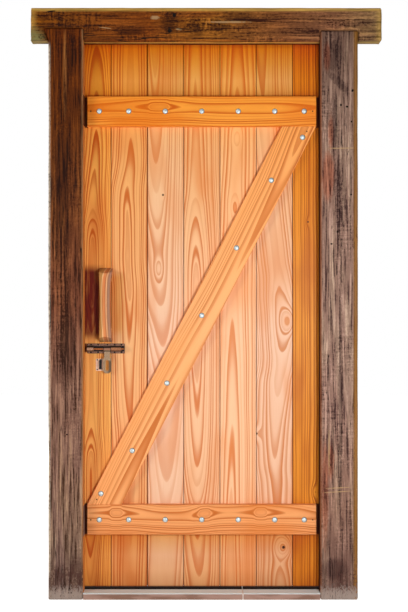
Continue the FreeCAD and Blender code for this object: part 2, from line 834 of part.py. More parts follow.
def make_bolts(doc, s):
    """Coach bolts through ledges and brace, with washers and nuts behind the boards."""
    long = s.ledge_thick + s.leaf_thick + s.washer_thick + s.nut_thick + s.bolt_end
    bolt = domed(s.bolt_head_wide, s.bolt_head_high, s.bolt_wide, long, s.bolt_end_bevel)
    side = s.bolt_wide.number
    corner = Vector(-side / 2, -side / 2, 0)
    bolt = bolt.fuse(Part.makeBox(side, side, s.bolt_neck_long.number, corner)).removeSplitter()
    bore = s.bolt_wide / 2 + s.drive_fit
    rim = s.washer_wide / 2
    washer = turned([(bore, ZERO), (rim, ZERO), (rim, s.washer_thick), (bore, s.washer_thick)])
    nut = make_nut(s)
    rows = (
        ("top_ledge", ledge_bolt_places(s, s.top_ledge_level), True),
        ("bottom_ledge", ledge_bolt_places(s, s.bottom_ledge_level), True),
        ("brace", brace_bolt_places(s), False),
    )
    for word, places, hinged in rows:
        heads = [(x, s.ledge_front, z) for x, z in places]
        add_shape(doc, f"{word}_bolts", copies(bolt, heads, INTO_WOOD))
        strapped = [hinged and on_strap(s, x) for x, z in places]
        seats = [(x, s.back, z) for (x, z), strap in zip(places, strapped) if not strap]
        add_shape(doc, f"{word}_washers", copies(washer, seats, INTO_WOOD))
        nuts = []
        for (x, z), strap in zip(places, strapped):
            seat = s.back + (s.strap_thick if strap else s.washer_thick)
            nuts.append((x, seat, z))
        add_shape(doc, f"{word}_nuts", copies(nut, nuts, INTO_WOOD))


def make_nut(s):
    """A hexagon nut that stands on its seat."""
    corner = s.nut_wide.number / 2 / math.cos(math.radians(30))
    turns = [math.radians(60 * step) for step in range(7)]
    ring = [Vector(corner * math.cos(turn), corner * math.sin(turn), 0) for turn in turns]
    block = Part.Face(Part.makePolygon(ring)).extrude(Vector(0, 0, s.nut_thick.number))
    hole = Part.makeCylinder(s.bolt_wide.number / 2 + s.drive_fit.number, s.nut_thick.number)
    return block.cut(hole)


def make_nails(doc, s):
    """Small nails at the ends of the ledges and of the brace, their heads on the face."""
    long = s.ledge_thick + s.nail_bite - s.drive_fit
    radius = s.nail_head / 2
    shank = s.nail_wide / 2
    thick = s.nail_head_thick
    corners = [(ZERO, -thick), (radius, -thick), (radius, ZERO), (shank, ZERO)]
    nail = turned(corners + [(shank, long - s.nail_wide), (ZERO, long)])
    places = brace_nail_places(s)
    for level in (s.top_ledge_level, s.bottom_ledge_level):
        places = places + ledge_nail_places(s, level)
    add_shape(doc, "ledge_nails", copies(nail, [(x, s.ledge_front, z) for x, z in places], INTO_WOOD))


# Hinges


def hinge_screw_places(s, level):
    """Centres of one hinge plate's screws, in the face of the frame's back."""
    up = s.plate_half_high * PLATE_SCREW_HEIGHT_SHARE
    across = [s.hinge_x + s.plate_reach * share for share in PLATE_SCREW_REACH_SHARES]
    return [(x, z) for x in across for z in (level - up, level + up)]


def make_strap(doc, s, name, level):
    """The leaf's half of a hinge: a tapered strap under the ledge bolts, with its knuckle."""
    body = new_body(doc, name, s.hinge_x, s.hinge_y, level)
    face = new_sketch(body, "face", "XZ_Plane", s.hinge_set)
    half = s.strap_high / 2
    tip = s.strap_tip_high / 2
    point = -s.strap_long - tip
    corners = [(ZERO, half), (-s.strap_root, half), (-s.strap_long, tip), (point, tip / 2)]
    draw_outline(face, corners + [(x, -z) for x, z in reversed(corners)])
    pad(body, face, s.strap_thick, back=True)
    ring = new_sketch(body, "knuckle", "XY_Plane", -half)
    draw_circle(ring, ZERO, ZERO, s.knuckle_radius * 2)
    pad(body, ring, s.strap_high)
    bore = new_sketch(body, "bore", "XY_Plane")
    draw_circle(bore, ZERO, ZERO, s.hinge_pin_wide + s.pin_running * 2)
    pocket(body, bore, s.strap_high + s.overrun, middle=True)
    places = [(x - s.hinge_x, z - level) for x, z in ledge_bolt_places(s, level) if on_strap(s, x)]
    drill(body, "bolt_holes", s.hinge_set, places, s.strap_thick + s.overrun, s.bolt_hole)


def make_plate(doc, s, name, level):
    """The post's half of a hinge: a plate with a knuckle above and below the strap's one."""
    body = new_body(doc, name, s.hinge_x, s.hinge_y, level)
    face = new_sketch(body, "face", "XZ_Plane", s.hinge_set)
    high = s.plate_half_high
    gate = s.strap_high / 2 + s.hinge_end_gap
    clear = s.knuckle_radius + s.hinge_side_gap
    corners = [(ZERO, -high), (s.plate_reach, -high), (s.plate_reach, high), (ZERO, high)]
    corners += [(ZERO, gate), (clear, gate), (clear, -gate), (ZERO, -gate)]
    draw_outline(face, corners)
    pad(body, face, s.strap_thick, back=True)
    for word, start in (("upper", gate), ("lower", -high)):
        ring = new_sketch(body, f"{word}_knuckle", "XY_Plane", start)
        draw_circle(ring, ZERO, ZERO, s.knuckle_radius * 2)
        pad(body, ring, s.plate_knuckle_long)
    bore = new_sketch(body, "bore", "XY_Plane")
    draw_circle(bore, ZERO, ZERO, s.hinge_pin_wide + s.pin_fit * 2)
    pocket(body, bore, high * 2 + s.overrun, middle=True)
    places = [(x - s.hinge_x, z - level) for x, z in hinge_screw_places(s, level)]
    drill(body, "screw_holes", s.hinge_set, places, s.strap_thick + s.overrun, s.plate_screw_hole)


def make_hinges(doc, s):
    """Both hinges, each on the back of a ledge, with its pin and screws."""
    head = s.pin_head_wide / 2
    pin_radius = s.hinge_pin_wide / 2
    seat = s.plate_half_high
    tip = -seat - s.pin_head_high
    top = seat + s.pin_head_high
    corners = [(ZERO, tip), (pin_radius - s.bolt_end_bevel, tip), (pin_radius, -seat), (pin_radius, seat)]
    corners += [(head, seat), (head, seat + s.pin_head_high / 2), (pin_radius, top), (ZERO, top)]
    pin = turned(corners)
    screw = pan_headed(s.plate_screw_head, s.plate_screw_wide / 2, s.plate_screw_wide, s.plate_screw_long)
    for word, level in (("upper", s.top_ledge_level), ("lower", s.bottom_ledge_level)):
        make_strap(doc, s, f"{word}_hinge_strap", level)
        make_plate(doc, s, f"{word}_hinge_plate", level)
        add_shape(doc, f"{word}_hinge_pin", copies(pin, [(s.hinge_x, s.hinge_y, level)], UPWARDS))
        face = s.back + s.strap_thick
        places = [(x, face, z) for x, z in hinge_screw_places(s, level)]
        add_shape(doc, f"{word}_hinge_screws", copies(screw, places, FROM_BEHIND))


# Handle


def make_handle(doc, s):
    """A pull cut from one block: sloped ends, a finger gap behind, wide bevels in front."""
    body = new_body(doc, "pull_handle", s.handle_x, s.leaf_front, s.handle_low)
    side = new_sketch(body, "side", "YZ_Plane")
    top = s.handle_long
    front = -s.handle_stand
    inner = front + s.handle_grip
    ease = s.handle_slope / 2
    corners = [(ZERO, ZERO), (front, s.handle_slope), (front, top - s.handle_slope), (ZERO, top)]
    corners += [(ZERO, top - s.handle_foot), (inner, top - s.handle_foot - ease)]
    corners += [(inner, s.handle_foot + ease), (ZERO, s.handle_foot)]
    draw_outline(side, corners)
    pad(body, side, s.handle_wide, middle=True)

    def inside_corner(box):
        return lies_at(box.YMin, box.YMax, inner) and near(box.XLength, s.handle_wide)

    def front_side(box):
        return lies_at(box.YMin, box.YMax, front) and box.ZLength > s.handle_wide.number

    soften(body, "Fillet", s.handle_round, inside_corner)
    waist = new_sketch(body, "waist", "XZ_Plane", s.handle_stand)
    bow = s.handle_long.per(s.handle_waist).of(s.handle_long) / 8 + s.handle_waist / 2
    reach = s.handle_wide / 2 - s.handle_waist + bow
    for side in (-1, 1):
        draw_circle(waist, reach * side, s.handle_long / 2, bow * 2)
    pocket(body, waist, s.handle_stand + s.overrun)
    soften(body, "Chamfer", s.handle_bevel, front_side)
    places = [(x - s.handle_x, z - s.handle_low) for x, z in handle_screw_places(s)]
    drill(body, "screw_holes", ZERO, places, s.handle_screw_bite, s.handle_screw_hole, forward=True)
    long = s.leaf_thick + s.handle_screw_bite - s.overrun
    screw = countersunk(s.handle_screw_head, s.handle_screw_wide, long)
    seats = [(x, s.back, z) for x, z in handle_screw_places(s)]
    add_shape(doc, "handle_screws", copies(screw, seats, FROM_BEHIND))


# Sliding bolt with its hasp


def make_latch_plate(doc, s):
    """The bolt's backplate, drilled for its small screws."""
    body = new_body(doc, "bolt_backplate", s.latch_left, s.leaf_front, s.latch_level)
    face = new_sketch(body, "face", "XZ_Plane")
    half = s.latch_plate_high / 2
    draw_rectangle(face, ZERO, -half, s.latch_plate_long, half)
    pad(body, face, s.latch_plate_thick)
    round_corners(body, s.latch_plate_round, s.latch_plate_thick)
    places = [(x - s.latch_left, z - s.latch_level) for x, z in latch_screw_places(s)]
    deep = s.latch_plate_thick + s.overrun
    drill(body, "screw_holes", s.latch_plate_thick, places, deep, s.small_screw_hole)


def round_corners(body, radius, thick):
    """Rounds a plate's corners, seen from the front."""

    def corner(box):
        return near(box.YLength, thick) and near(box.XLength, ZERO) and near(box.ZLength, ZERO)

    soften(body, "Fillet", radius, corner)


def make_cuff(doc, s, name, left, wide):
    """A bent strap on the backplate that the rod slides through."""
    body = new_body(doc, name, left, s.rod_y, s.latch_level)
    foot = s.rod_stand - s.latch_plate_thick
    crown = new_sketch(body, "crown", "YZ_Plane")
    draw_circle(crown, ZERO, ZERO, s.cuff_half_outer * 2)
    pad(body, crown, wide)
    legs = new_sketch(body, "legs", "YZ_Plane")
    draw_rectangle(legs, ZERO, -s.cuff_half_outer, foot, s.cuff_half_outer)
    pad(body, legs, wide)
    bore = new_sketch(body, "bore", "YZ_Plane", wide)
    draw_circle(bore, ZERO, ZERO, s.cuff_half_inner * 2)
    pocket(body, bore, wide)
    gap = new_sketch(body, "gap", "YZ_Plane", wide)
    draw_rectangle(gap, ZERO, -s.cuff_half_inner, foot + s.overrun, s.cuff_half_inner)
    pocket(body, gap, wide)


def make_rod(doc, s):
    """The sliding rod with its rounded nose, and the two collars that carry the hasp along."""
    radius = s.rod_wide / 2
    nose = radius - s.rod_nose
    corners = [(ZERO, ZERO), (nose, ZERO), (radius, s.rod_nose), (radius, s.rod_long), (ZERO, s.rod_long)]
    rod = turned(corners)
    along = Vector(1, 0, 0)
    add_shape(doc, "bolt_rod", copies(rod, [(s.rod_left, s.rod_y, s.latch_level)], along))
    bore = radius + s.collar_fit
    outer = radius + s.collar_thick
    collar = turned([(bore, ZERO), (outer, ZERO), (outer, s.collar_wide), (bore, s.collar_wide)])
    places = [(x, s.rod_y, s.latch_level) for x in (s.left_collar_left, s.right_collar_left)]
    add_shape(doc, "rod_collars", copies(collar, places, along))


def make_hasp(doc, s):
    """The flap that hangs on the rod, with the long eye that drops over the staple."""
    body = new_body(doc, "hasp_flap", s.hasp_x, s.rod_y, s.latch_level)
    face = new_sketch(body, "face", "XZ_Plane")
    strip = s.hasp_wide / 2
    ring = s.hasp_ring_wide / 2
    eye_half = s.hasp_eye_high / 2
    ring_top = -s.hasp_eye_drop + eye_half + s.hasp_ring_top
    toe = -s.hasp_eye_drop - eye_half - s.hasp_ring_toe
    neck = ring_top + s.hasp_shoulder
    corners = [(-strip, ZERO), (-strip, neck), (-ring, ring_top), (-ring, toe)]
    draw_outline(face, corners + [(-x, z) for x, z in reversed(corners)])
    pad(body, face, s.hasp_thick, middle=True)

    def toe_corner(box):
        return near(box.YLength, s.hasp_thick) and lies_at(box.ZMin, box.ZMax, toe)

    soften(body, "Fillet", s.hasp_round, toe_corner)
    barrel = new_sketch(body, "barrel", "YZ_Plane")
    bore = s.rod_wide + s.rod_running * 2
    draw_circle(barrel, ZERO, ZERO, bore + s.hasp_wall * 2)
    pad(body, barrel, s.hasp_wide, middle=True)
    hole = new_sketch(body, "bore", "YZ_Plane")
    draw_circle(hole, ZERO, ZERO, bore)
    pocket(body, hole, s.hasp_wide + s.overrun, middle=True)
    half = s.hasp_eye_wide / 2
    end = eye_half - half
    slot = new_sketch(body, "eye", "XZ_Plane")
    draw_rectangle(slot, -half, -s.hasp_eye_drop - end, half, -s.hasp_eye_drop + end)
    pocket(body, slot, s.hasp_thick + s.overrun, middle=True)
    rounds = new_sketch(body, "eye_ends", "XZ_Plane")
    for level in (-s.hasp_eye_drop - end, -s.hasp_eye_drop + end):
        draw_circle(rounds, ZERO, level, s.hasp_eye_wide)
    pocket(body, rounds, s.hasp_thick + s.overrun, middle=True)


def make_staple(doc, s):
    """The staple plate, and the bent wire staple through it into the board."""
    body = new_body(doc, "staple_plate", s.staple_x, s.leaf_front, s.staple_level)
    face = new_sketch(body, "face", "XZ_Plane")
    wide = s.staple_plate_wide / 2
    high = s.staple_plate_high / 2
    draw_rectangle(face, -wide, -high, wide, high)
    pad(body, face, s.latch_plate_thick)
    round_corners(body, s.staple_plate_round, s.latch_plate_thick)
    deep = s.latch_plate_thick + s.overrun
    screws = [(x - s.staple_x, z - s.staple_level) for x, z in staple_screw_places(s)]
    drill(body, "screw_holes", s.latch_plate_thick, screws, deep, s.small_screw_hole)
    legs = [(x - s.staple_x, z - s.staple_level) for x, z in staple_leg_places(s)]
    drill(body, "leg_holes", s.latch_plate_thick, legs, deep, s.staple_hole)
    add_shape(doc, "staple", staple_shape(s))


def staple_shape(s):
    """A round wire bent twice, driven into the board by both legs."""
    half = (s.staple_high - s.staple_wire).number / 2
    crown = (s.leaf_front - s.staple_stand + s.staple_wire / 2).number
    leg = (s.leaf_front + s.staple_bite - s.drive_fit).number - crown - s.staple_bend.number
    bend = s.staple_bend.number
    level = s.staple_level.number
    x = s.staple_x.number
    pieces_of_wire = []
    for side in (-1, 1):
        start = Vector(x, crown + bend, level + half * side)
        section = Part.Face(Part.Wire(Part.makeCircle(s.staple_wire.number / 2, start, INTO_WOOD)))
        pieces_of_wire.append(section.extrude(INTO_WOOD * leg))
        pivot = Vector(x, crown + bend, level + (half - bend) * side)
        pieces_of_wire.append(section.revolve(pivot, Vector(side, 0, 0), 90))
    low_end = Vector(x, crown, level - half + bend)
    bar = Part.makeCylinder(s.staple_wire.number / 2, (half - bend) * 2, low_end, UPWARDS)
    return bar.multiFuse(pieces_of_wire).removeSplitter()


def make_small_screws(doc, s):
    """The round-headed screws of the bolt's backplate and of the staple plate."""
    screw = pan_headed(s.small_screw_head, s.small_screw_rise, s.small_screw_wide, s.small_screw_long)
    seat = s.leaf_front - s.latch_plate_thick
    groups = (("bolt_plate_screws", latch_screw_places(s)), ("staple_screws", staple_screw_places(s)))
    for name, places in groups:
        add_shape(doc, name, copies(screw, [(x, seat, z) for x, z in places], INTO_WOOD))


def make_latch(doc, s):
    make_latch_plate(doc, s)
    make_cuff(doc, s, "bolt_left_cuff", s.rod_left, s.left_cuff_wide)
    make_cuff(doc, s, "bolt_right_cuff", s.right_cuff_left, s.right_cuff_wide)
    make_rod(doc, s)
    make_hasp(doc, s)
    make_staple(doc, s)
    make_small_screws(doc, s)


# Whole door


def pieces(doc):
    kept = [item for item in doc.Objects if item.TypeId in ("PartDesign::Body", "Part::Feature")]
    return sorted(kept, key=lambda item: item.Label)


def check(doc):
    """Stops with a message when an object failed or a piece isn't a sound solid."""
    for item in doc.Objects:
        if "Invalid" in item.State or "Error" in item.State:
            raise RuntimeError(f"{item.Label} failed: {item.State}")
    for piece in pieces(doc):
        shape = piece.Shape
        if shape.isNull() or not shape.isValid() or not shape.Solids or shape.Volume <= 0:
            raise RuntimeError(f"{piece.Label} has no sound solid")


def main():
    doc = FreeCAD.newDocument("plank_door")
    s = read_sizes(make_sheet(doc))
    add_derived(s)
    make_left_post(doc, s)
    make_right_post(doc, s)
    make_lintel(doc, s)
    make_lap_screws(doc, s)
    make_threshold(doc, s)
    make_planks(doc, s)
    make_ledge(doc, s, "top_ledge", s.top_ledge_level)
    make_ledge(doc, s, "bottom_ledge", s.bottom_ledge_level)
    make_brace(doc, s)
    make_bolts(doc, s)
    make_nails(doc, s)
    make_hinges(doc, s)
    make_handle(doc, s)
    make_latch(doc, s)
    doc.recompute()
    check(doc)
    os.makedirs("parts", exist_ok=True)
    for piece in pieces(doc):
        piece.Shape.exportStep(f"parts/{piece.Label}.step")
        print(f"{piece.Label}: {len(piece.Shape.Solids)} solids, {piece.Shape.Volume:.1f} cubic mm")


main()
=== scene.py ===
import json
import math
from collections import namedtuple

import bpy
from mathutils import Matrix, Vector, noise

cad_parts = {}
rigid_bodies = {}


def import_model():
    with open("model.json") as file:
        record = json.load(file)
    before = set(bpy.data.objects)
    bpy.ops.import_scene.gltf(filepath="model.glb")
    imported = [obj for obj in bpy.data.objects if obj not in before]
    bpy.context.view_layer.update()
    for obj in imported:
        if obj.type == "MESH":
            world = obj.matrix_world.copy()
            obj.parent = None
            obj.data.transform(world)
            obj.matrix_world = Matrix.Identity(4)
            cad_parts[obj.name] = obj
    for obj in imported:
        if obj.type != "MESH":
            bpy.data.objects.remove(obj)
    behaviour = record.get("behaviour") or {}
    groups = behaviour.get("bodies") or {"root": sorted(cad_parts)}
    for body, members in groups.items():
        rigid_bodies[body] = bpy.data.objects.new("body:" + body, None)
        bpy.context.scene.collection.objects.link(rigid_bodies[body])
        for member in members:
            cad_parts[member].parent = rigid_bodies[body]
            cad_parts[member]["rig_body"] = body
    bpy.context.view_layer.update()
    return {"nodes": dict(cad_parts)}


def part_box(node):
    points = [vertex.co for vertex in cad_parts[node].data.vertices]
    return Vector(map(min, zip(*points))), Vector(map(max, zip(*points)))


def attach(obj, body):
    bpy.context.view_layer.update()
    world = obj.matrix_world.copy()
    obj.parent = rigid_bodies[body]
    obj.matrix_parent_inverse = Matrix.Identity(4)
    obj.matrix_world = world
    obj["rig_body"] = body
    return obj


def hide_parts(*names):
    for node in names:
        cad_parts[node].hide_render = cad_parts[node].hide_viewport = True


# The looks of a ledged and braced plank door in a frame of reclaimed timber.
# Every place is in metres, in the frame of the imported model: X to the right, Y to the back, Z up.

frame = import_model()
NODES = frame["nodes"]
SLOTS = {name: node.data.materials[0].name for name, node in NODES.items()}

# Camera: level, in front of the doorway's middle
CAMERA_PLACE = (0.0086, -4.05, 1.102)
CAMERA_LENS = 62.745
SENSOR_HEIGHT = 36.0

BOARDS = 7
BRACE_FOOT = 0.131


# Signals: numbers that are worked out at each point of a surface


def math_method(operation):
    """A method that adds one Math node, for a signal and, where the operation takes it, another value."""
    return lambda signal, other=0.0: signal.net.math(operation, signal, other)


class Signal:
    """A number at each point of a surface. Arithmetic on it adds nodes to its material."""

    def __init__(self, net, socket):
        self.net = net
        self.socket = socket

    __add__ = math_method("ADD")
    __sub__ = math_method("SUBTRACT")
    __mul__ = math_method("MULTIPLY")
    __truediv__ = math_method("DIVIDE")
    __pow__ = math_method("POWER")
    least = math_method("MINIMUM")
    most = math_method("MAXIMUM")
    size = math_method("ABSOLUTE")
    fraction = math_method("FRACT")
    whole = math_method("FLOOR")
    exp = math_method("EXPONENT")

    def squared(self):
        return self * self

    def rise(self, low, high):
        """0 below the low value, 1 above the high one, and a smooth rise between them."""
        node = self.net.node("MapRange", interpolation_type="SMOOTHSTEP")
        self.net.feed(node.inputs["Value"], self)
        self.net.feed(node.inputs["From Min"], low)
        self.net.feed(node.inputs["From Max"], high)
        return Signal(self.net, node.outputs["Result"])

    def fall(self, low, high):
        """1 below the low value, 0 above the high one."""
        return self.rise(low, high) * -1 + 1

    def ramp(self, *stops):
        """A colour for each value, from stops of (value, colour)."""
        node = self.net.node("ValToRGB")
        elements = node.color_ramp.elements
        while len(elements) < len(stops):
            elements.new(1.0)
        for element, (place, tone) in zip(elements, stops):
            element.position = place
            element.color = tone
        self.net.feed(node.inputs["Fac"], self)
        return node.outputs["Color"]

    def curve(self, points):
        """A smooth curve through (value, result) points in rising order of value."""
        values = [value for value, result in points]
        results = [result for value, result in points]
        low, span = min(values), max(values) - min(values)
        least, reach = min(results), max(max(results) - min(results), 1e-6)
        node = self.net.node("FloatCurve")
        line = node.mapping.curves[0].points
        places = [((value - low) / span, (result - least) / reach) for value, result in points]
        line[0].location = places[0]
        line[1].location = places[-1]
        for place in places[1:-1]:
            line.new(*place)
        for point in line:
            point.handle_type = "AUTO_CLAMPED"
        node.mapping.update()
        self.net.feed(node.inputs["Value"], (self - low) / span)
        return Signal(self.net, node.outputs["Value"]) * reach + least


class Tree:
    """A node tree, built up by short calls."""

    def __init__(self, tree):
        self.tree = tree

    def node(self, kind, **settings):
        made = self.tree.nodes.new("ShaderNode" + kind)
        for word, value in settings.items():
            setattr(made, word, value)
        return made

    def feed(self, socket, value):
        if isinstance(value, Signal):
            value = value.socket
        if isinstance(value, bpy.types.NodeSocket):
            self.tree.links.new(value, socket)
        else:
            socket.default_value = value

    def math(self, operation, first, second=0.0):
        made = self.node("Math", operation=operation)
        self.feed(made.inputs[0], first)
        self.feed(made.inputs[1], second)
        return Signal(self, made.outputs[0])

    def mix(self, share, first, second, blend="MIX"):
        made = self.node("Mix", data_type="RGBA", blend_type=blend)
        for socket, value in zip((made.inputs[0], *made.inputs[6:8]), (share, first, second)):
            self.feed(socket, value)
        return made.outputs[2]

    def shade(self, share, first, tint):
        """The first tone, multiplied by the tint as far as the share says."""
        return self.mix(share, first, tint, "MULTIPLY")


class Graph(Tree):
    """The node tree of one material, with the object's own coordinates as signals."""

    def __init__(self, name):
        self.material = bpy.data.materials.new(name)
        self.material.use_nodes = True
        super().__init__(self.material.node_tree)
        self.shader = self.tree.nodes["Principled BSDF"]
        parts = self.node("SeparateXYZ")
        self.feed(parts.inputs["Vector"], self.node("TexCoord").outputs["Object"])
        self.x, self.y, self.z = (Signal(self, part) for part in parts.outputs)

    def gloss(self, level):
        """How strongly the whole surface reflects."""
        self.shader.inputs["Specular IOR Level"].default_value = level

    def vector(self, x, y, z):
        made = self.node("CombineXYZ")
        for socket, value in zip(made.inputs, (x, y, z)):
            self.feed(socket, value)
        return made.outputs[0]

    def stretched(self, x, y, z):
        """The object's own coordinates, scaled along each axis."""
        return self.vector(self.x * x, self.y * y, self.z * z)

    def noise(self, vector, detail=2.0, roughness=0.5):
        made = self.node("TexNoise")
        for word, value in (("Vector", vector), ("Scale", 1.0), ("Detail", detail), ("Roughness", roughness)):
            self.feed(made.inputs[word], value)
        return Signal(self, made.outputs["Fac"])

    def fibres(self, lay, fine, often, detail=2.0, roughness=0.5):
        """Noise that runs with the grain: how fine it is across, and how often it changes along."""
        across, along, inward = lay
        return self.noise(self.vector(across * fine, inward * fine, along * often), detail, roughness)

    def line_noise(self, value):
        """Noise along one number."""
        made = self.node("TexNoise", noise_dimensions="1D")
        for word, given in (("W", value), ("Scale", 1.0), ("Detail", 1.0)):
            self.feed(made.inputs[word], given)
        return Signal(self, made.outputs["Fac"])

    def chance(self, value):
        """A random number from 0 to 1, the same wherever the value is the same."""
        made = self.node("TexWhiteNoise", noise_dimensions="1D")
        self.feed(made.inputs["W"], value)
        return Signal(self, made.outputs["Value"])

    def finish(self, tone, roughness, height=None, depth=0.001, strength=0.5):
        """Joins colour, roughness and the relief, whose height of 1 is depth metres, to the shader."""
        self.feed(self.shader.inputs["Base Color"], tone)
        self.feed(self.shader.inputs["Roughness"], roughness)
        if height is not None:
            bump = self.node("Bump")
            for word, value in (("Height", height), ("Distance", depth), ("Strength", strength)):
                self.feed(bump.inputs[word], value)
            self.feed(self.shader.inputs["Normal"], bump.outputs["Normal"])
        return self.material


def add_object(name, data):
    made = bpy.data.objects.new(name, data)
    bpy.context.scene.collection.objects.link(made)
    return made


def tone(red, green, blue):
    """A colour as it shows on a screen, from 0 to 255, made linear for the shader."""
    parts = [part / 255 for part in (red, green, blue)]
    linear = [part / 12.92 if part <= 0.04045 else ((part + 0.055) / 1.055) ** 2.4 for part in parts]
    return (*linear, 1.0)


# Pine boards

# An eye or a knot in the figure: rings close round it, and core is the radius of its dark middle
Knot = namedtuple("Knot", "across along half_wide half_long lift core", defaults=(0.0,))
# A board's figure: its heart and the depth of that, both along the board, a ring's width, tones and knots
Figure = namedtuple("Figure", "heart depth ring pale dark deep knots", defaults=((),))

KNOT_TONE = tone(60, 28, 14)
# How far the rings wander sideways, and how unevenly they follow each other
RING_BEND = 0.013
RING_SPREAD = 1.7
# How dark the wood is from one ring to the next, and how much of that the palest ring has
LATE_WOOD = ((0.0, 0.0), (0.3, 0.1), (0.62, 0.75), (0.84, 1.0), (1.0, 0.0))
PALEST_RING = 0.3
# Noises with the grain: how fine across, how often along, detail and roughness
RING_WAVES = (16, 2.4)
PINE_FIBRE = (640, 11, 3.0)
PINE_CLOUD = (9, 2.2)
# How strongly clouds, the heart of the figure and the fibres show
CLOUD_SHARE = 0.55
HEART_SHARE = 0.6
FIBRE_SHARE = 0.16
PINE_GLOSS = 0.15
PINE_RELIEF = 0.0004

BOARD_FIGURES = (
    Figure(
        heart=((0.0, -0.426), (0.5, -0.424), (1.2, -0.418), (1.5, -0.415), (1.75, -0.402), (2.1, -0.4)),
        depth=((0.05, 0.03), (0.16, 0.024), (0.3, 0.01), (0.42, 0.003), (0.5, 0.006), (0.57, 0.016),
            (0.65, 0.026), (0.85, 0.03), (1.08, 0.016), (1.18, 0.006), (1.29, 0.007), (1.39, 0.016),
            (1.49, 0.032), (1.75, 0.042), (2.0, 0.052), (2.1, 0.058)),
        ring=0.0062, pale=(250, 181, 94), dark=(194, 81, 11), deep=(201, 87, 14)),
    Figure(
        heart=((0.0, -0.276), (0.5, -0.27), (0.85, -0.279), (1.1, -0.276), (1.3, -0.285), (1.5, -0.285),
            (1.7, -0.27), (2.1, -0.271)),
        depth=((0.05, 0.044), (0.5, 0.038), (0.75, 0.031), (0.88, 0.027), (1.0, 0.022), (1.1, 0.018),
            (1.2, 0.0145), (1.42, 0.0155), (1.51, 0.02), (1.6, 0.027), (1.7, 0.033), (1.9, 0.039),
            (2.1, 0.041)),
        knots=((-0.284, 1.295, 0.006, 0.018, 0.003), (-0.282, 1.215, 0.006, 0.014, 0.003)),
        ring=0.0085, pale=(242, 180, 119), dark=(197, 96, 32), deep=(209, 106, 35)),
    Figure(
        heart=((0.0, -0.155), (0.3, -0.14), (0.5, -0.134), (0.95, -0.148), (1.24, -0.165), (1.5, -0.172),
            (2.1, -0.18)),
        depth=((0.05, 0.118), (0.3, 0.116), (0.5, 0.108), (0.8, 0.094), (1.0, 0.082), (1.18, 0.066),
            (1.33, 0.06), (1.5, 0.048), (1.7, 0.034), (1.9, 0.022), (2.1, 0.012)),
        knots=((-0.165, 1.243, 0.016, 0.04, 0.012), (-0.148, 1.526, 0.01, 0.016, 0.004, 0.004)),
        ring=0.0092, pale=(243, 197, 159), dark=(215, 135, 87), deep=(226, 141, 84)),
    Figure(
        heart=((0.05, -0.01), (0.4, -0.018), (0.8, -0.018), (1.2, -0.022), (1.55, -0.023), (2.1, -0.024)),
        depth=((0.05, 0.068), (0.11, 0.064), (0.3, 0.054), (0.405, 0.043), (0.46, 0.037), (0.556, 0.03),
            (0.73, 0.021), (0.87, 0.013), (0.95, 0.007), (1.05, 0.004), (1.14, 0.006), (1.22, 0.012),
            (1.3, 0.02), (1.385, 0.029), (1.48, 0.038), (1.56, 0.045), (1.8, 0.05), (2.1, 0.053)),
        ring=0.0085, pale=(244, 191, 144), dark=(210, 115, 55), deep=(224, 131, 64)),
    Figure(
        heart=((0.05, 0.112), (0.4, 0.113), (0.68, 0.1156), (0.98, 0.1175), (1.5, 0.127), (1.75, 0.1347),
            (2.1, 0.136)),
        depth=((0.05, 0.01), (0.2, 0.013), (0.4, 0.018), (0.5, 0.021), (0.67, 0.0265), (0.8, 0.03),
            (0.98, 0.0355), (1.1, 0.039), (1.25, 0.043), (1.5, 0.048), (1.75, 0.052), (2.1, 0.06)),
        knots=((0.1347, 1.742, 0.017, 0.034, 0.013), (0.126, 1.48, 0.018, 0.045, 0.013)),
        ring=0.0092, pale=(250, 196, 148), dark=(216, 120, 56), deep=(236, 146, 83)),
    Figure(
        heart=((0.05, 0.3), (0.3, 0.29), (0.42, 0.2875), (0.52, 0.28), (0.8, 0.292), (0.94, 0.308),
            (1.18, 0.2966), (1.28, 0.284), (1.5, 0.262), (1.94, 0.23), (2.1, 0.226)),
        depth=((0.05, 0.052), (0.3, 0.062), (0.42, 0.06), (0.52, 0.056), (0.72, 0.048), (0.8, 0.043),
            (0.9, 0.04), (0.96, 0.034), (1.08, 0.03), (1.17, 0.037), (1.3, 0.043), (1.7, 0.042),
            (1.94, 0.036), (2.1, 0.03)),
        knots=((0.333, 1.045, 0.03, 0.05, 0.034), (0.3123, 0.181, 0.03, 0.034, 0.03, 0.006),
            (0.2095, 0.615, 0.018, 0.03, 0.014, 0.004)),
        ring=0.0092, pale=(240, 191, 153), dark=(208, 122, 64), deep=(224, 138, 77)),
    Figure(
        heart=((0.05, 0.5), (2.1, 0.496)),
        depth=((0.05, 0.03), (1.0, 0.04), (2.1, 0.034)),
        knots=((0.4059, 1.423, 0.01, 0.02, 0.01, 0.0035), (0.428, 0.392, 0.012, 0.03, 0.014)),
        ring=0.0105, pale=(234, 146, 36), dark=(158, 70, 3), deep=(174, 78, 2)),
)

TOP_LEDGE_FIGURE = Figure(
    heart=((-0.435, 1.853), (-0.16, 1.8585), (0.1, 1.85), (0.435, 1.856)),
    depth=((-0.435, 0.03), (-0.3, 0.026), (-0.25, 0.022), (-0.204, 0.018), (-0.162, 0.01), (-0.12, 0.018),
        (-0.07, 0.023), (0.0, 0.026), (0.2, 0.024), (0.435, 0.032)),
    ring=0.008, pale=(252, 171, 79), dark=(202, 91, 9), deep=(232, 120, 20))

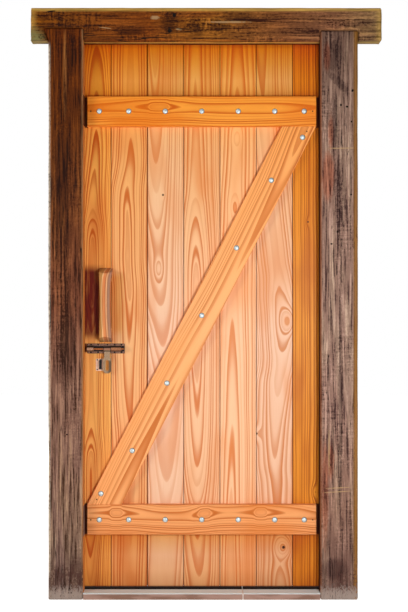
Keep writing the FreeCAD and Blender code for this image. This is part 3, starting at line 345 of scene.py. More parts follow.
BOTTOM_LEDGE_FIGURE = Figure(
    heart=((-0.435, 0.316), (-0.32, 0.318), (-0.1, 0.304), (0.01, 0.314), (0.227, 0.318), (0.435, 0.306)),
    depth=((-0.435, 0.022), (-0.36, 0.02), (-0.346, 0.0158), (-0.323, 0.008), (-0.3, 0.0158),
        (-0.25, 0.021), (-0.1, 0.026), (-0.03, 0.02), (-0.012, 0.0158), (0.011, 0.008), (0.034, 0.0158),
        (0.1, 0.022), (0.18, 0.02), (0.202, 0.0158), (0.225, 0.008), (0.248, 0.0158), (0.32, 0.022),
        (0.435, 0.028)),
    ring=0.0078, pale=(244, 167, 102), dark=(192, 95, 27), deep=(224, 124, 44))

BRACE_FIGURE = Figure(
    heart=((-0.85, 0.04), (-0.3, 0.03), (0.2, 0.04), (0.85, 0.02)),
    depth=((-0.85, 0.05), (0.0, 0.056), (0.85, 0.046)),
    ring=0.008, pale=(255, 179, 113), dark=(201, 109, 44), deep=(249, 164, 93))

HANDLE_FIGURE = Figure(
    heart=((0.95, -0.385), (1.25, -0.378)),
    depth=((0.95, 0.02), (1.25, 0.034)),
    ring=0.009, pale=(255, 184, 120), dark=(220, 115, 57), deep=(210, 143, 87))


def round_spot(across, along, spot):
    """1 in the middle of a knot, and less further out."""
    side = ((across - spot.across) / spot.half_wide).squared()
    end = ((along - spot.along) / spot.half_long).squared()
    return ((side + end) * -1).exp()


def count_rings(net, across, along, inward, figure):
    """How many growth rings out from the heart each point lies."""
    waves = net.fibres((across, along, inward), *RING_WAVES)
    across = across + (waves - 0.5) * RING_BEND
    side = across - along.curve(figure.heart)
    down = along.curve(figure.depth) + inward
    reach = (side.squared() + down.squared()) ** 0.5
    for knot in (Knot(*row) for row in figure.knots):
        reach = reach - round_spot(across, along, knot) * knot.lift
    count = reach / figure.ring
    return count + (net.line_noise(count * 0.6) - 0.5) * RING_SPREAD


def knot_cores(net, across, along, figure):
    """1 in the dark middles of the knots."""
    cores = across * 0
    for knot in (Knot(*row) for row in figure.knots):
        if knot.core:
            reach = ((across - knot.across).squared() + (along - knot.along).squared()) ** 0.5
            cores = cores.most(reach.fall(knot.core * 0.6, knot.core * 1.3))
    return cores


def pine(name, lay, figure, tint):
    """Varnished pine. lay gives, from the graph, the places across and along the board and into it, and
    tint changes the finished tone."""
    net = Graph(name)
    place = across, along, inward = lay(net)
    pale, dark, deep = (tone(*parts) for parts in (figure.pale, figure.dark, figure.deep))
    count = count_rings(net, across, along, inward, figure)
    grain = count.fraction().curve(LATE_WOOD)
    grain = grain * (net.chance(count.whole()) * (1 - PALEST_RING) + PALEST_RING)
    fibre = net.fibres(place, *PINE_FIBRE)
    cloud = net.fibres(place, *PINE_CLOUD)
    wood = net.mix(grain, pale, dark)
    wood = net.mix(cloud.rise(0.46, 0.7) * CLOUD_SHARE, wood, deep)
    wood = net.mix(count.fall(0.6, 1.7) * HEART_SHARE, wood, deep)
    wood = net.mix(fibre.rise(0.5, 0.75) * FIBRE_SHARE, wood, dark)
    wood = net.mix(knot_cores(net, across, along, figure), wood, KNOT_TONE)
    wood = tint(net, wood)
    net.gloss(PINE_GLOSS)
    relief = fibre * 0.5 + grain * 0.5
    return net.finish(wood, fibre * 0.16 + grain * 0.05 + 0.36, relief, PINE_RELIEF, strength=0.35)


# Painted shadows on the boards: a deep one left of the handle, a weaker one right of it, and dark ones
# beside the ledges' ends and left of the bolt's backplate: the corners (x, z) of their patches, how soft
# their edges are, how deep from the leaf's front they reach and what they multiply the tone by
LEFT_HANDLE_SHADOW = ((-0.48, 0.982), (-0.38, 1.248))
HANDLE_SHADOW_SOFT = 0.02
SHADE_AND_SEAM_DEPTH = 0.004
LEFT_HANDLE_SHADOW_TINT = (0.16, 0.024, 0.006, 1.0)
RIGHT_HANDLE_SHADOW = ((-0.35, 1.0), (-0.3, 1.225))
RIGHT_HANDLE_SHADOW_TINT = (0.92, 0.8, 0.52, 1.0)
TOP_LEDGE_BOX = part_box("top_ledge")
BOTTOM_LEDGE_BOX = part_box("bottom_ledge")
SLOT_SOFT = 0.002
LEDGE_AND_PLATE_SHADOW_TINT = (0.16, 0.07, 0.05, 1.0)
BOLT_PLATE_SHADOW = (((-0.45, 0.925), (-0.4365, 0.959)),)
LEDGE_END_SHADOWS = tuple(
    ((side[0], box[0].z - SLOT_SOFT), (side[1], box[1].z))
    for box in (TOP_LEDGE_BOX, BOTTOM_LEDGE_BOX)
    for side in ((-0.5, box[0].x + SLOT_SOFT), (box[1].x - SLOT_SOFT, 0.5))
)
# The dark seams between the boards
SEAMS = tuple(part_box(f"plank_{index}")[0].x for index in range(2, BOARDS + 1))
SEAM_HALF_WIDE = 0.0026
SEAM_TINT = (0.4, 0.34, 0.4, 1.0)
# How the boards' tone changes with height, painted shade for the most part: darker and deep orange under
# the head beam, very dark at the leaf's foot, darker and browner towards the floor, and near plain between.
TONE_AND_SHADE_BY_HEIGHT = (
    (0.03, (0.26, 0.12, 0.04)), (0.034, (0.52, 0.33, 0.2)), (0.038, (0.72, 0.58, 0.42)),
    (0.1, (0.9, 0.8, 0.68)), (0.2, (0.95, 0.88, 0.84)), (0.3, (1.0, 1.02, 1.1)),
    (0.6, (1.0, 1.03, 1.12)), (1.0, (0.99, 1.05, 1.18)), (1.35, (1.0, 1.0, 0.97)),
    (1.65, (1.02, 0.98, 0.82)), (1.84, (1.02, 0.93, 0.6)), (1.93, (1.0, 0.84, 0.42)),
    (1.97, (0.95, 0.77, 0.32)), (2.03, (0.86, 0.58, 0.12)), (2.083, (0.77, 0.39, 0.012)),
    (2.102, (0.5, 0.18, 0.006)), (2.115, (0.35, 0.11, 0.004)),
)
# Painted shadows of the ledges: the boards are darker close above the top ledge and close below the bottom
# one.
PLAIN = (1.0, 1.0, 1.0)
LEDGE_PAINTED_SHADOWS = (
    (0.03, PLAIN), (0.15, (0.96, 0.96, 0.96)), (0.215, (0.82, 0.69, 0.4)), (0.234, (0.74, 0.54, 0.22)),
    (0.3, PLAIN), (1.84, PLAIN), (1.895, (0.7, 0.5, 0.16)), (1.925, (0.9, 0.84, 0.6)), (1.96, PLAIN),
    (2.115, PLAIN),
)


def tinted(net, wood, tints):
    """The tone times the tint for its height."""
    low, high = tints[0][0], tints[-1][0]
    stops = [((place - low) / (high - low), (*shade, 1.0)) for place, shade in tints]
    return net.shade(1.0, wood, ((net.z - low) / (high - low)).ramp(*stops))


def patch_of(net, low, high, soft):
    """1 between the low and the high corner, given as (x, z), with edges that soft."""
    inside = net.x.rise(low[0] - soft, low[0] + soft) * net.x.fall(high[0] - soft, high[0] + soft)
    inside = inside * net.z.rise(low[1] - soft, low[1] + soft)
    return inside * net.z.fall(high[1] - soft, high[1] + soft)


def painted_shadows_and_seams(net, wood):
    """Painted shadows beside the handle, the ledges' ends and the bolt's backplate, and dark seams."""
    # The noise called stain only breaks up the painted shadows below.
    stain = net.noise(net.stretched(60, 60, 9), detail=2.0)
    handle_shadow = patch_of(net, *LEFT_HANDLE_SHADOW, HANDLE_SHADOW_SOFT) * (stain * 1.2 + 0.35).least(1.0)
    wood = net.shade(handle_shadow, wood, LEFT_HANDLE_SHADOW_TINT)
    wood = net.shade(patch_of(net, *RIGHT_HANDLE_SHADOW, HANDLE_SHADOW_SOFT), wood, RIGHT_HANDLE_SHADOW_TINT)
    # Painted shadows cast by the ledges' ends and by the bolt's backplate onto the boards.
    side_shadows = net.x * 0
    for low, high in LEDGE_END_SHADOWS + BOLT_PLATE_SHADOW:
        side_shadows = side_shadows.most(patch_of(net, low, high, SLOT_SOFT))
    wood = net.shade(side_shadows * (stain * 0.8 + 0.6).least(1.0), wood, LEDGE_AND_PLATE_SHADOW_TINT)
    seams = net.x * 0
    for place in SEAMS:
        seams = seams.most(edge_of(net.x, place, SEAM_HALF_WIDE))
    return net.shade(seams, wood, SEAM_TINT)


def board_tint(net, wood):
    """The painted shadows and the dark seams are on the front of the boards only; the painted shade by height
    covers them all round.
    """
    wood = tinted(net, wood, TONE_AND_SHADE_BY_HEIGHT)
    front = net.y.fall(LEAF_FRONT + SHADE_AND_SEAM_DEPTH, LEAF_FRONT + SHADE_AND_SEAM_DEPTH * 2)
    return net.mix(front, wood, painted_shadows_and_seams(net, tinted(net, wood, LEDGE_PAINTED_SHADOWS)))


def ledge_tint(net, wood):
    # The ledges take the same tone and painted shade by height as the boards.
    return tinted(net, wood, TONE_AND_SHADE_BY_HEIGHT)


# Wood lies as its piece does. A lay gives the places across, along and into a piece.

LEAF_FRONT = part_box("plank_4")[0].y
LEDGE_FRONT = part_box("top_ledge")[0].y
HANDLE_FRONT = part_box("pull_handle")[0].y


def upright(front):
    return lambda net: (net.x, net.z, net.y - front)


def lying(front):
    return lambda net: (net.z, net.x, net.y - front)


# Across the handle, from its left side to its right one: the tones of its facets, edges and wear, with
# painted light and shade on its facets and painted highlights along its edges
HANDLE_TONES_LIT_AND_SHADED = ((0.0, (150, 112, 58)), (0.1, (184, 142, 80)), (0.24, (176, 132, 72)),
                (0.28, (236, 200, 150)), (0.33, (232, 190, 136)), (0.38, (214, 132, 80)),
                (0.54, (200, 112, 64)), (0.6, (160, 84, 50)), (0.64, (238, 196, 150)),
                (0.7, (206, 150, 112)), (0.76, (134, 106, 98)), (0.86, (164, 136, 124)),
                (0.92, (130, 92, 70)), (0.96, (214, 120, 56)), (1.0, (190, 100, 40)))
# How far its streaks lean to the right, as a share of its width, from its foot to its top
HANDLE_BEND = ((0.0, 0.06), (0.12, 0.03), (0.3, -0.03), (0.55, -0.06), (0.78, -0.03), (0.92, 0.1),
               (1.0, 0.26))
# How much of the streaks and of the painted shade on its ends shows, and how far up and down its ends slope
HANDLE_SHARE = 0.74
HANDLE_END_SHADE_SHARE = 0.85
HANDLE_END_SHADE = tone(70, 38, 16)
HANDLE_END_LONG = 0.021


def handle_tint(net, wood):
    """Streaks along the handle with painted light and shade on its facets, and painted shade on its two
    sloped ends.
    """
    low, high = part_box("pull_handle")
    bend = net.z.curve(tuple((low.z + (high.z - low.z) * share, shift) for share, shift in HANDLE_BEND))
    side = (net.x - low.x) / (high.x - low.x) - bend
    wood = net.mix(HANDLE_SHARE, wood, side.ramp(*((place, tone(*parts)) for place, parts in HANDLE_TONES_LIT_AND_SHADED)))
    slope = (net.y - low.y) / (high.y - low.y) * HANDLE_END_LONG
    top = (net.z - high.z + slope * -1 + HANDLE_END_LONG).rise(-0.002, 0.001)
    foot = (net.z - low.z + slope - HANDLE_END_LONG).fall(-0.001, 0.002)
    return net.mix(top.most(foot) * HANDLE_END_SHADE_SHARE, wood, HANDLE_END_SHADE)


def slanting(net):
    """Along the brace, whose middle line runs between the middles of its two feet."""
    low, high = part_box("brace")
    run = high.x - low.x - BRACE_FOOT
    rise = high.z - low.z
    length = math.hypot(run, rise)
    middle = (low + high) / 2
    side, up = net.x - middle.x, net.z - middle.z
    along = (side * run + up * rise) / length
    across = (side * rise - up * run) / length
    return across, along, net.y - LEDGE_FRONT


# Reclaimed timber

# A mark on the front of a timber: an ellipse's middle, half its width and height, and its slant
Mark = namedtuple("Mark", "x z half_wide half_high slant", defaults=(0.0,))
# How one timber looks. run is its tone at places along it, and second, deep and raised are what its second
# tone and its deep and raised grain multiply that by. edge is the tone of its worn edges, and reveal that of
# its side of the doorway, which is painted shade on the beam and the right post. holes, stains, patches and
# scars are the marks on its front. saw, rot and grain say how strong its saw marks, its rot and its broad,
# narrow and finest grain are, and split how wide it cracks.
Timber = namedtuple("Timber", (
    "run second deep raised edge reveal holes stains patches patch_tone scars saw rot grain split"
))

# How far from a timber's front the weather has reached its sides
FRONT_DEPTH = 0.006
REVEAL_DEPTH = 0.014
SAW_PITCH = 0.0078
HOLE_TONE = tone(16, 8, 4)
SCAR_TONE = tone(188, 156, 112)
# Noises with the grain, for the broad, narrow and finest grain, the second tone, the clouds and the rot: how
# fine across, how often along, detail and roughness
TIMBER_NOISES = ((50, 2.4, 2.0, 0.6), (130, 6, 2.0, 0.6), (420, 30, 3.0, 0.6), (20, 1.7, 3.0, 0.6),
                 (8, 4, 3.0, 0.6), (150, 90, 4.0, 0.75))
CRACK_LINES = (42, 1.5, 3.0)
CRACK_PATCHES = (7, 2.0)
# How soft the edges of each kind of mark are, and how strongly it shows
HOLE_SOFT = 0.3
STAIN_SOFT = 0.9
SCAR_SOFT = 0.6
PATCH_SHARE = 0.75
STAIN_SHARE = 0.55
SCAR_SHARE = 0.7
# Between which values of the grain the second tone, the raised grain and the deep grain begin and end
SECOND_RANGE = (0.46, 0.6)
RAISED_RANGE = (0.05, 0.55)
DEEP_RANGE = (-0.55, 0.0)
OLD_GLOSS = 0.12
OLD_RELIEF = 0.003

LINTEL_LOOK = Timber(
    run=((-0.64, (128, 72, 10)), (-0.59, (102, 53, 9)), (-0.45, (96, 48, 11)), (-0.2, (108, 52, 12)),
         (0.05, (138, 83, 27)), (0.3, (120, 72, 39)), (0.5, (122, 80, 56)), (0.674, (126, 96, 66))),
    second=(1.12, 1.16, 1.05, 1.0), deep=(0.16, 0.1, 0.12, 1.0), raised=(1.9, 2.0, 1.9, 1.0),
    edge=(255, 208, 104), reveal=(52, 20, 6),
    holes=((-0.564, 2.207, 0.017, 0.003, 0.1), (-0.103, 2.192, 0.007, 0.008), (-0.12, 2.134, 0.008, 0.008)),
    stains=((-0.12, 2.165, 0.03, 0.04), (0.13, 2.186, 0.06, 0.014), (-0.02, 2.15, 0.03, 0.03),
        (0.06, 2.15, 0.04, 0.026), (-0.27, 2.13, 0.05, 0.022)),
    patches=((-0.32, 2.15, 0.08, 0.022), (-0.05, 2.196, 0.12, 0.014)),
    patch_tone=(132, 70, 22),
    scars=((-0.36, 2.1445, 0.024, 0.0016, -0.12), (0.1, 2.1665, 0.075, 0.0034),
        (-0.085, 2.14, 0.012, 0.004), (-0.175, 2.183, 0.016, 0.007)),
    saw=0.5, rot=1.7, grain=(1.5, 2.4, 0.8), split=0.016)

LEFT_POST_LOOK = Timber(
    run=((0.0, (102, 78, 72)), (0.12, (112, 86, 78)), (0.4, (124, 92, 80)), (0.8, (122, 87, 73)),
         (1.1, (112, 64, 44)), (1.45, (104, 56, 28)), (1.8, (90, 42, 8)), (2.15, (90, 38, 4))),
    second=(1.22, 1.3, 1.15, 1.0), deep=(0.22, 0.16, 0.12, 1.0), raised=(1.8, 2.0, 1.9, 1.0),
    edge=(184, 134, 88), reveal=(214, 134, 62),
    holes=((-0.53, 1.21, 0.003, 0.004), (-0.505, 0.62, 0.003, 0.003)),
    stains=((-0.49, 2.06, 0.022, 0.09), (-0.52, 1.55, 0.03, 0.3), (-0.505, 1.0, 0.03, 0.2)),
    patches=((-0.513, 1.98, 0.007, 0.16),),
    patch_tone=(136, 86, 44),
    scars=(),
    saw=0.16, rot=0.8, grain=(1.7, 3.3, 1.0), split=0.009)

RIGHT_POST_LOOK = Timber(
    run=((0.0, (106, 78, 69)), (0.12, (118, 87, 76)), (0.35, (135, 101, 86)), (0.7, (145, 112, 99)),
         (1.2, (143, 112, 98)), (1.6, (139, 107, 94)), (1.85, (137, 108, 94)), (2.15, (108, 80, 67))),
    second=(1.16, 1.28, 1.22, 1.0), deep=(0.22, 0.17, 0.2, 1.0), raised=(1.75, 1.9, 1.95, 1.0),
    edge=(134, 78, 46), reveal=(44, 14, 4),
    holes=((0.5655, 1.91, 0.0042, 0.005), (0.522, 1.856, 0.0036, 0.004), (0.545, 1.85, 0.005, 0.004),
        (0.562, 1.794, 0.0035, 0.004), (0.5605, 1.52, 0.0035, 0.0035), (0.487, 1.335, 0.004, 0.003),
        (0.508, 1.38, 0.003, 0.004)),
    stains=((0.51, 1.945, 0.048, 0.014, -0.85), (0.492, 2.035, 0.034, 0.06), (0.498, 1.79, 0.012, 0.1),
        (0.515, 1.48, 0.012, 0.16), (0.52, 0.75, 0.007, 0.45), (0.5, 0.115, 0.04, 0.035)),
    patches=((0.474, 1.59, 0.02, 0.08), (0.484, 0.52, 0.012, 0.06), (0.47, 2.04, 0.012, 0.05),
        (0.462, 0.4, 0.012, 0.18), (0.484, 1.76, 0.01, 0.06)),
    patch_tone=(150, 86, 62),
    scars=((0.53, 1.694, 0.055, 0.0022, 0.01), (0.51, 0.405, 0.05, 0.0018, 0.06),
        (0.515, 0.42, 0.045, 0.0018, 0.05), (0.4775, 0.56, 0.0025, 0.08)),
    saw=0.22, rot=0.9, grain=(1.4, 2.8, 0.8), split=0.005)


def spread(net, marks, soft, wander=0.0):
    """1 inside the marks and 0 outside, over an edge as soft as asked, that wanders off the ellipse."""
    inside = net.x * 0
    for mark in (Mark(*row) for row in marks):
        turn, rise = math.cos(mark.slant), math.sin(mark.slant)
        side, up = net.x - mark.x, net.z - mark.z
        wide = (side * turn + up * rise) / mark.half_wide
        high = (up * turn - side * rise) / mark.half_high
        inside = inside.most((wide.squared() + high.squared() + wander).fall(1 - soft, 1 + soft))
    return inside


def cracks(net, lay, width):
    """Drying cracks, which run along the grain."""
    field = net.fibres(lay, *CRACK_LINES)
    patch = net.fibres(lay, *CRACK_PATCHES)
    return (field - 0.5).size().fall(width * 0.3, width) * patch.rise(0.45, 0.6)


def run_of_tones(along, stops):
    """The tone at each place along a piece."""
    low, high = stops[0][0], stops[-1][0]
    tones = [((place - low) / (high - low), tone(*parts)) for place, parts in stops]
    return ((along - low) / (high - low)).ramp(*tones)


def old_timber(name, lay, look, arris, reveal, foot):
    """Rough reclaimed timber. arris is 1 along worn edges, and on the beam also along a band under it that is
    painted lit; reveal is 1 on the sides of the doorway, where the reveal tone paints shade on the beam and
    the right post; and foot is 1 where the floor has splashed it."""
    net = Graph(name)
    place = across, along, inward = lay(net)
    front = inward.fall(FRONT_DEPTH, REVEAL_DEPTH)
    broad, streak, fibre, other, cloud, rot = (net.fibres(place, *values) for values in TIMBER_NOISES)
    ragged = cloud.rise(0.48, 0.6)
    saw = net.noise(net.vector(across * 14, inward * 14, along / SAW_PITCH), detail=1.0) - 0.5
    split = cracks(net, place, look.split)
    wander = (rot - 0.5) * 2.5 + (cloud - 0.5) * 2.5
    inside = spread(net, look.holes, HOLE_SOFT, (rot - 0.5) * 2) * front
    stain = spread(net, look.stains, STAIN_SOFT, wander) * front
    patch = spread(net, look.patches, STAIN_SOFT, wander) * front
    scar = spread(net, look.scars, SCAR_SOFT, (rot - 0.5) * 4) * front
    layers = zip((broad, streak, fibre), look.grain)
    grain = sum(((layer - 0.5) * weight for layer, weight in layers), net.x * 0)
    marks = saw * ragged * look.saw * 4 + (rot - 0.5) * (ragged * 0.7 + 0.6) * look.rot * 1.6
    field = grain + marks - stain * 0.16
    wood = run_of_tones(along, look.run)
    wood = net.shade(other.rise(*SECOND_RANGE), wood, look.second)
    wood = net.mix(patch * PATCH_SHARE, wood, tone(*look.patch_tone))
    wood = net.shade(stain * STAIN_SHARE, wood, look.deep)
    wood = net.shade(field.rise(*RAISED_RANGE), wood, look.raised)
    wood = net.shade(field.fall(*DEEP_RANGE), wood, look.deep)
    wood = net.mix(arris(net) * (streak * 2.2 - 0.2).least(1.0).most(0.0), wood, tone(*look.edge))
    wood = net.mix(scar * SCAR_SHARE, wood, SCAR_TONE)
    wood = foot(net, wood, rot, cloud)
    wood = net.mix(reveal(net), wood, tone(*look.reveal))
    wood = net.mix(split.most(inside), wood, HOLE_TONE)
    net.gloss(OLD_GLOSS)
    relief = grain * 0.4 + marks * 0.4 - split * 0.8 - inside * 1.5 + 0.5
    return net.finish(wood, fibre * 0.2 + 0.68, relief, OLD_RELIEF, strength=0.55)


def edge_of(value, edge, width):
    """1 at the edge, falling to 0 at that width from it."""
    return (value - edge).size().fall(0.0, width)


# Places on the timbers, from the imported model
BEAM_LOW, BEAM_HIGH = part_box("lintel")
BEAM_FRONT = BEAM_LOW.y
LEFT_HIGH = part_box("left_post")[1]
RIGHT_LOW, RIGHT_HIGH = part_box("right_post")
POST_WIDE = 0.131

# Widths of what the weather and hands did along edges
ARRIS_WIDE = 0.009
BEAM_TOP_WIDE = 0.018
BEAM_END_WIDE = 0.03
OUTER_WIDE = 0.012
OUTER_HIGH = 2.06
RIGHT_OUTER_WIDE = 0.016
STRIP_LINE_WIDE = 0.003
# How far back the worn edges reach from the timbers' front, and the left reveal's rubbed tone from the leaf's
EDGE_DEPTH = (0.012, 0.045)
LEAF_DEPTH = (0.004, 0.016)
REVEAL_SKIN = 0.005
# The band under the beam, worn and painted lit, from the beam's front, and how strongly the band and the
# beam's worn ends show
WORN_AND_LIT_BAND = (0.024, 0.03, 0.046, 0.052)
BAND_SHARE = 0.5
ENDS_SHARE = 0.34
UNDER_SKIN = 0.004
OVERHANG = 0.57
OLIVE_REACH = 0.065
OLIVE_CORE = 0.018

# Heights of splashed mud and of the damp above it
MUD_LOW = 0.012
MUD_HIGH = 0.075
DAMP_LOW = 0.09
DAMP_HIGH = 0.2

MUD_TONE = tone(186, 170, 160)
BLEACHED_TONE = tone(238, 224, 204)
STRIP_TONE = tone(146, 98, 36)
STRIP_LINE_TONE = tone(70, 40, 22)
DAMP_TONE = tone(74, 46, 40)
OLIVE_TONE = tone(128, 122, 76)
UNDER_TONE = tone(170, 142, 84)


def beam_arris(net):
    """Worn along the top edge and at both ends, and a band along the underside that is worn and painted lit.
    """
    ends = edge_of(net.x, BEAM_LOW.x, BEAM_END_WIDE).most(edge_of(net.x, BEAM_HIGH.x, BEAM_END_WIDE))
    inward = net.y - BEAM_FRONT
    near = inward.fall(*EDGE_DEPTH)
    top = edge_of(net.z, BEAM_HIGH.z, BEAM_TOP_WIDE) * near
    band = under_skin(net) * inward.rise(*WORN_AND_LIT_BAND[:2]) * inward.fall(*WORN_AND_LIT_BAND[2:])
    return top.most(band * BAND_SHARE).most(ends * near * ENDS_SHARE)


def under_skin(net):
    """1 on the beam's underside and in the hollow of its wane."""
    return net.z.fall(BEAM_LOW.z + UNDER_SKIN, BEAM_LOW.z + UNDER_SKIN * 2)


def beam_reveal(net):
    """The back part of the beam's underside, over the doorway, which takes the reveal tone as painted shade.
    """
    back = (net.y - BEAM_FRONT).rise(*WORN_AND_LIT_BAND[2:])
    return under_skin(net) * back * net.x.size().fall(OVERHANG, OVERHANG + UNDER_SKIN)


def beam_foot(net, wood, rot, cloud):
    """The greenish lower corner of the beam's left end, and the yellowish underside of both ends."""
    corner = ((net.x - BEAM_LOW.x).squared() + (net.z - BEAM_LOW.z).squared()) ** 0.5
    wood = net.mix(corner.fall(OLIVE_CORE, OLIVE_REACH) * rot.rise(0.34, 0.5), wood, OLIVE_TONE)
    inward = net.y - BEAM_FRONT
    under = under_skin(net) * inward.rise(FRONT_DEPTH, REVEAL_DEPTH)
    under = under * net.x.size().rise(OVERHANG, OVERHANG + UNDER_SKIN)
    return net.mix(under * 0.6, wood, UNDER_TONE)


def post_front(net):
    """1 on the front of a post and on the rounds of its front edges."""
    return (net.y - BEAM_FRONT).fall(FRONT_DEPTH, REVEAL_DEPTH)


def left_arris(net):
    return edge_of(net.x, LEFT_HIGH.x, ARRIS_WIDE) * post_front(net)


def left_reveal(net):
    skin = edge_of(net.x, LEFT_HIGH.x, REVEAL_SKIN).rise(0.1, 0.4) * (post_front(net) * -1 + 1)
    # Beside the ledges the orange reveal tone is left out, so the reveal keeps the post's darker tone there
    # as painted shadow of the ledges.
    for low, high in (TOP_LEDGE_BOX, BOTTOM_LEDGE_BOX):
        beside = net.z.rise(low.z - SLOT_SOFT, low.z) * net.z.fall(high.z, high.z + SLOT_SOFT)
        skin = skin * (beside * -1 + 1)
    return skin * (net.y - LEAF_FRONT).fall(*LEAF_DEPTH)


def right_arris(net):
    return edge_of(net.x, RIGHT_LOW.x, ARRIS_WIDE) * post_front(net)


def right_reveal(net):
    # The right post's side of the doorway takes the dark reveal tone as painted shade.
    return edge_of(net.x, RIGHT_LOW.x, REVEAL_SKIN).rise(0.1, 0.4) * (post_front(net) * -1 + 1)


def left_foot(net, wood, rot, cloud):
    """The bleached outer edge, and the foot."""
    outer = edge_of(net.x, LEFT_HIGH.x - POST_WIDE, OUTER_WIDE) * net.z.fall(OUTER_HIGH, BEAM_LOW.z)
    outer = outer * (net.y - BEAM_FRONT).fall(*EDGE_DEPTH)
    wood = net.mix(outer * rot.rise(0.3, 0.55), wood, BLEACHED_TONE)
    return post_foot(net, wood, rot, cloud)


def right_foot(net, wood, rot, cloud):
    """The orange strip along the outer edge with the dark line beside it, and the foot."""
    strip = edge_of(net.x, RIGHT_HIGH.x, RIGHT_OUTER_WIDE * 1.6).rise(0.0, 0.4)
    strip = strip * (net.y - BEAM_FRONT).fall(*EDGE_DEPTH)
    line = edge_of(net.x, RIGHT_HIGH.x - RIGHT_OUTER_WIDE, STRIP_LINE_WIDE)
    wood = net.mix(strip * (cloud * 0.6 + 0.5), wood, STRIP_TONE)
    wood = net.mix(line * rot.rise(0.35, 0.55) * 0.7, wood, STRIP_LINE_TONE)
    return post_foot(net, wood, rot, cloud)


def post_foot(net, wood, rot, cloud):
    """Damp and splashed with mud near the floor."""
    damp = net.z.fall(DAMP_LOW, DAMP_HIGH) * (rot + cloud).rise(0.94, 1.06)
    wood = net.mix(damp * 0.85, wood, DAMP_TONE)
    mud = net.z.fall(MUD_LOW, MUD_HIGH) * 0.5 + (rot - 0.5) * 2.4
    return net.mix(mud.rise(0.12, 0.34) * net.z.fall(MUD_LOW, DAMP_LOW) * 0.65, wood, MUD_TONE)


# A face turned down further than this and below this height stands on the floor and isn't worn.
DOWNWARD = -0.8
WEAR_FLOOR = 0.05
# How often hollows, ridges and bites come to the metre, how deep they are, and how the grain stretches them
HOLLOWS, HOLLOW_DEEP = 26, 0.0018
RIDGES, RIDGE_DEEP = 95, 0.0008
BITES, BITE_DEEP = 9, 0.007
GRAIN_STRETCH = 0.14
# How much a handled piece is worn evenly, at its corners and in dents
EVEN_WEAR, CORNER_WEAR, DENTS, DENT_DEEP = 0.0002, 0.004, 30, 0.0005
# The even part of the wear: of a post, and of the beam, which stands out again where it isn't eaten
POST_BASE = 0.0001
BEAM_BASE = -0.0018
TIMBER_GRID = 0.004
HANDLE_GRID = 0.002
# The lower corners of the beam's ends are square: at faces as slanted as this they stand out that far.
SQUARE_SLANT = 0.6
SQUARE_OUT = 0.003


def timber_wear(along_axis, base):
    """How deep the weather has eaten into a timber and rounded its edges, from an even base."""
    def wear(place, normal):
        grain = Vector(place)
        grain[along_axis] *= GRAIN_STRETCH
        hollow = max(0.0, noise.noise(grain * HOLLOWS)) * HOLLOW_DEEP
        ridge = abs(noise.noise(grain * RIDGES)) * RIDGE_DEEP
        corner = 1 - max(abs(part) for part in normal)
        bite = BITE_DEEP * corner * (1 + noise.noise(Vector(place) * BITES))
        square = min(1.0, max(0.0, min(abs(normal.x), -normal.z)) / SQUARE_SLANT) * (along_axis == 0)
        eaten = (base + hollow + ridge + bite) * (normal.z > DOWNWARD or place.z > WEAR_FLOOR)
        return eaten * (1 - square) - SQUARE_OUT * square
    return wear


def soft_wear(place, normal):
    """The slight unevenness of a piece worn by hands or feet."""
    corner = 1 - max(abs(part) for part in normal)
    return EVEN_WEAR + CORNER_WEAR * corner + abs(noise.noise(Vector(place) * DENTS)) * DENT_DEEP


def worn_copy(node, name, grid, wear, material):
    """A copy of a node on an even grid, each point sunk by its wear. It stands for the node."""
    source = NODES[node]
    piece = add_object(name, source.data.copy())
    even = piece.modifiers.new("even_grid", "REMESH")
    even.mode = "VOXEL"
    even.voxel_size = grid
    net = bpy.context.evaluated_depsgraph_get()
    mesh = bpy.data.meshes.new_from_object(piece.evaluated_get(net))
    piece.modifiers.clear()
    piece.data = mesh
    points = [(vertex.co.copy(), vertex.normal.copy()) for vertex in mesh.vertices]
    for vertex, (place, normal) in zip(mesh.vertices, points):
        vertex.co = place - normal * wear(place, normal)
    mesh.shade_smooth()
    mesh.materials.clear()
    mesh.materials.append(material)
    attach(piece, source["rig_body"])
    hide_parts(node)
    return piece


# Stone, mortar and metals

# Where the threshold's top begins, and the painted shade under the leaf
SLAB_TOP = (0.0195, 0.0232)
UNDER_LEAF_SHADE_DEPTH = (0.006, 0.012)
DIRT_AND_SHADE_TONE = tone(34, 14, 3)
MATT = 0.12


def stone(name, pale, dark, warm):
    """Honed reddish-grey slab with veins, a pale top and painted shade under the leaf."""
    net = Graph(name)
    pale, dark, warm = tone(*pale), tone(*dark), tone(*warm)
    cloud = net.noise(net.stretched(9, 22, 40), detail=4.0)
    grit = net.noise(net.stretched(420, 420, 420), detail=2.0)
    face = net.mix(cloud.rise(0.38, 0.62), dark, warm)
    body = net.mix(grit.rise(0.55, 0.75) * 0.35, face, dark)
    body = net.mix(net.z.rise(*SLAB_TOP), body, pale)
    # Painted shade on the slab's top under the leaf, from this depth back.
    dirt = net.y.rise(*UNDER_LEAF_SHADE_DEPTH)
    body = net.mix(dirt, body, DIRT_AND_SHADE_TONE)
    net.gloss(MATT)
    return net.finish(body, (grit * 0.2 + 0.5).most(dirt), grit + cloud, depth=0.0006, strength=0.4)


# The dirt in the rebates' feet: how wide, from where back, and how far under the slabs' top
REBATE_WIDE = 0.018
REBATE_FRONT = 0.0205
DIRT_SUNK = 0.0006
BOX_FACES = ((0, 1, 3, 2), (4, 6, 7, 5), (0, 4, 5, 1), (2, 3, 7, 6), (0, 2, 6, 4), (1, 5, 7, 3))


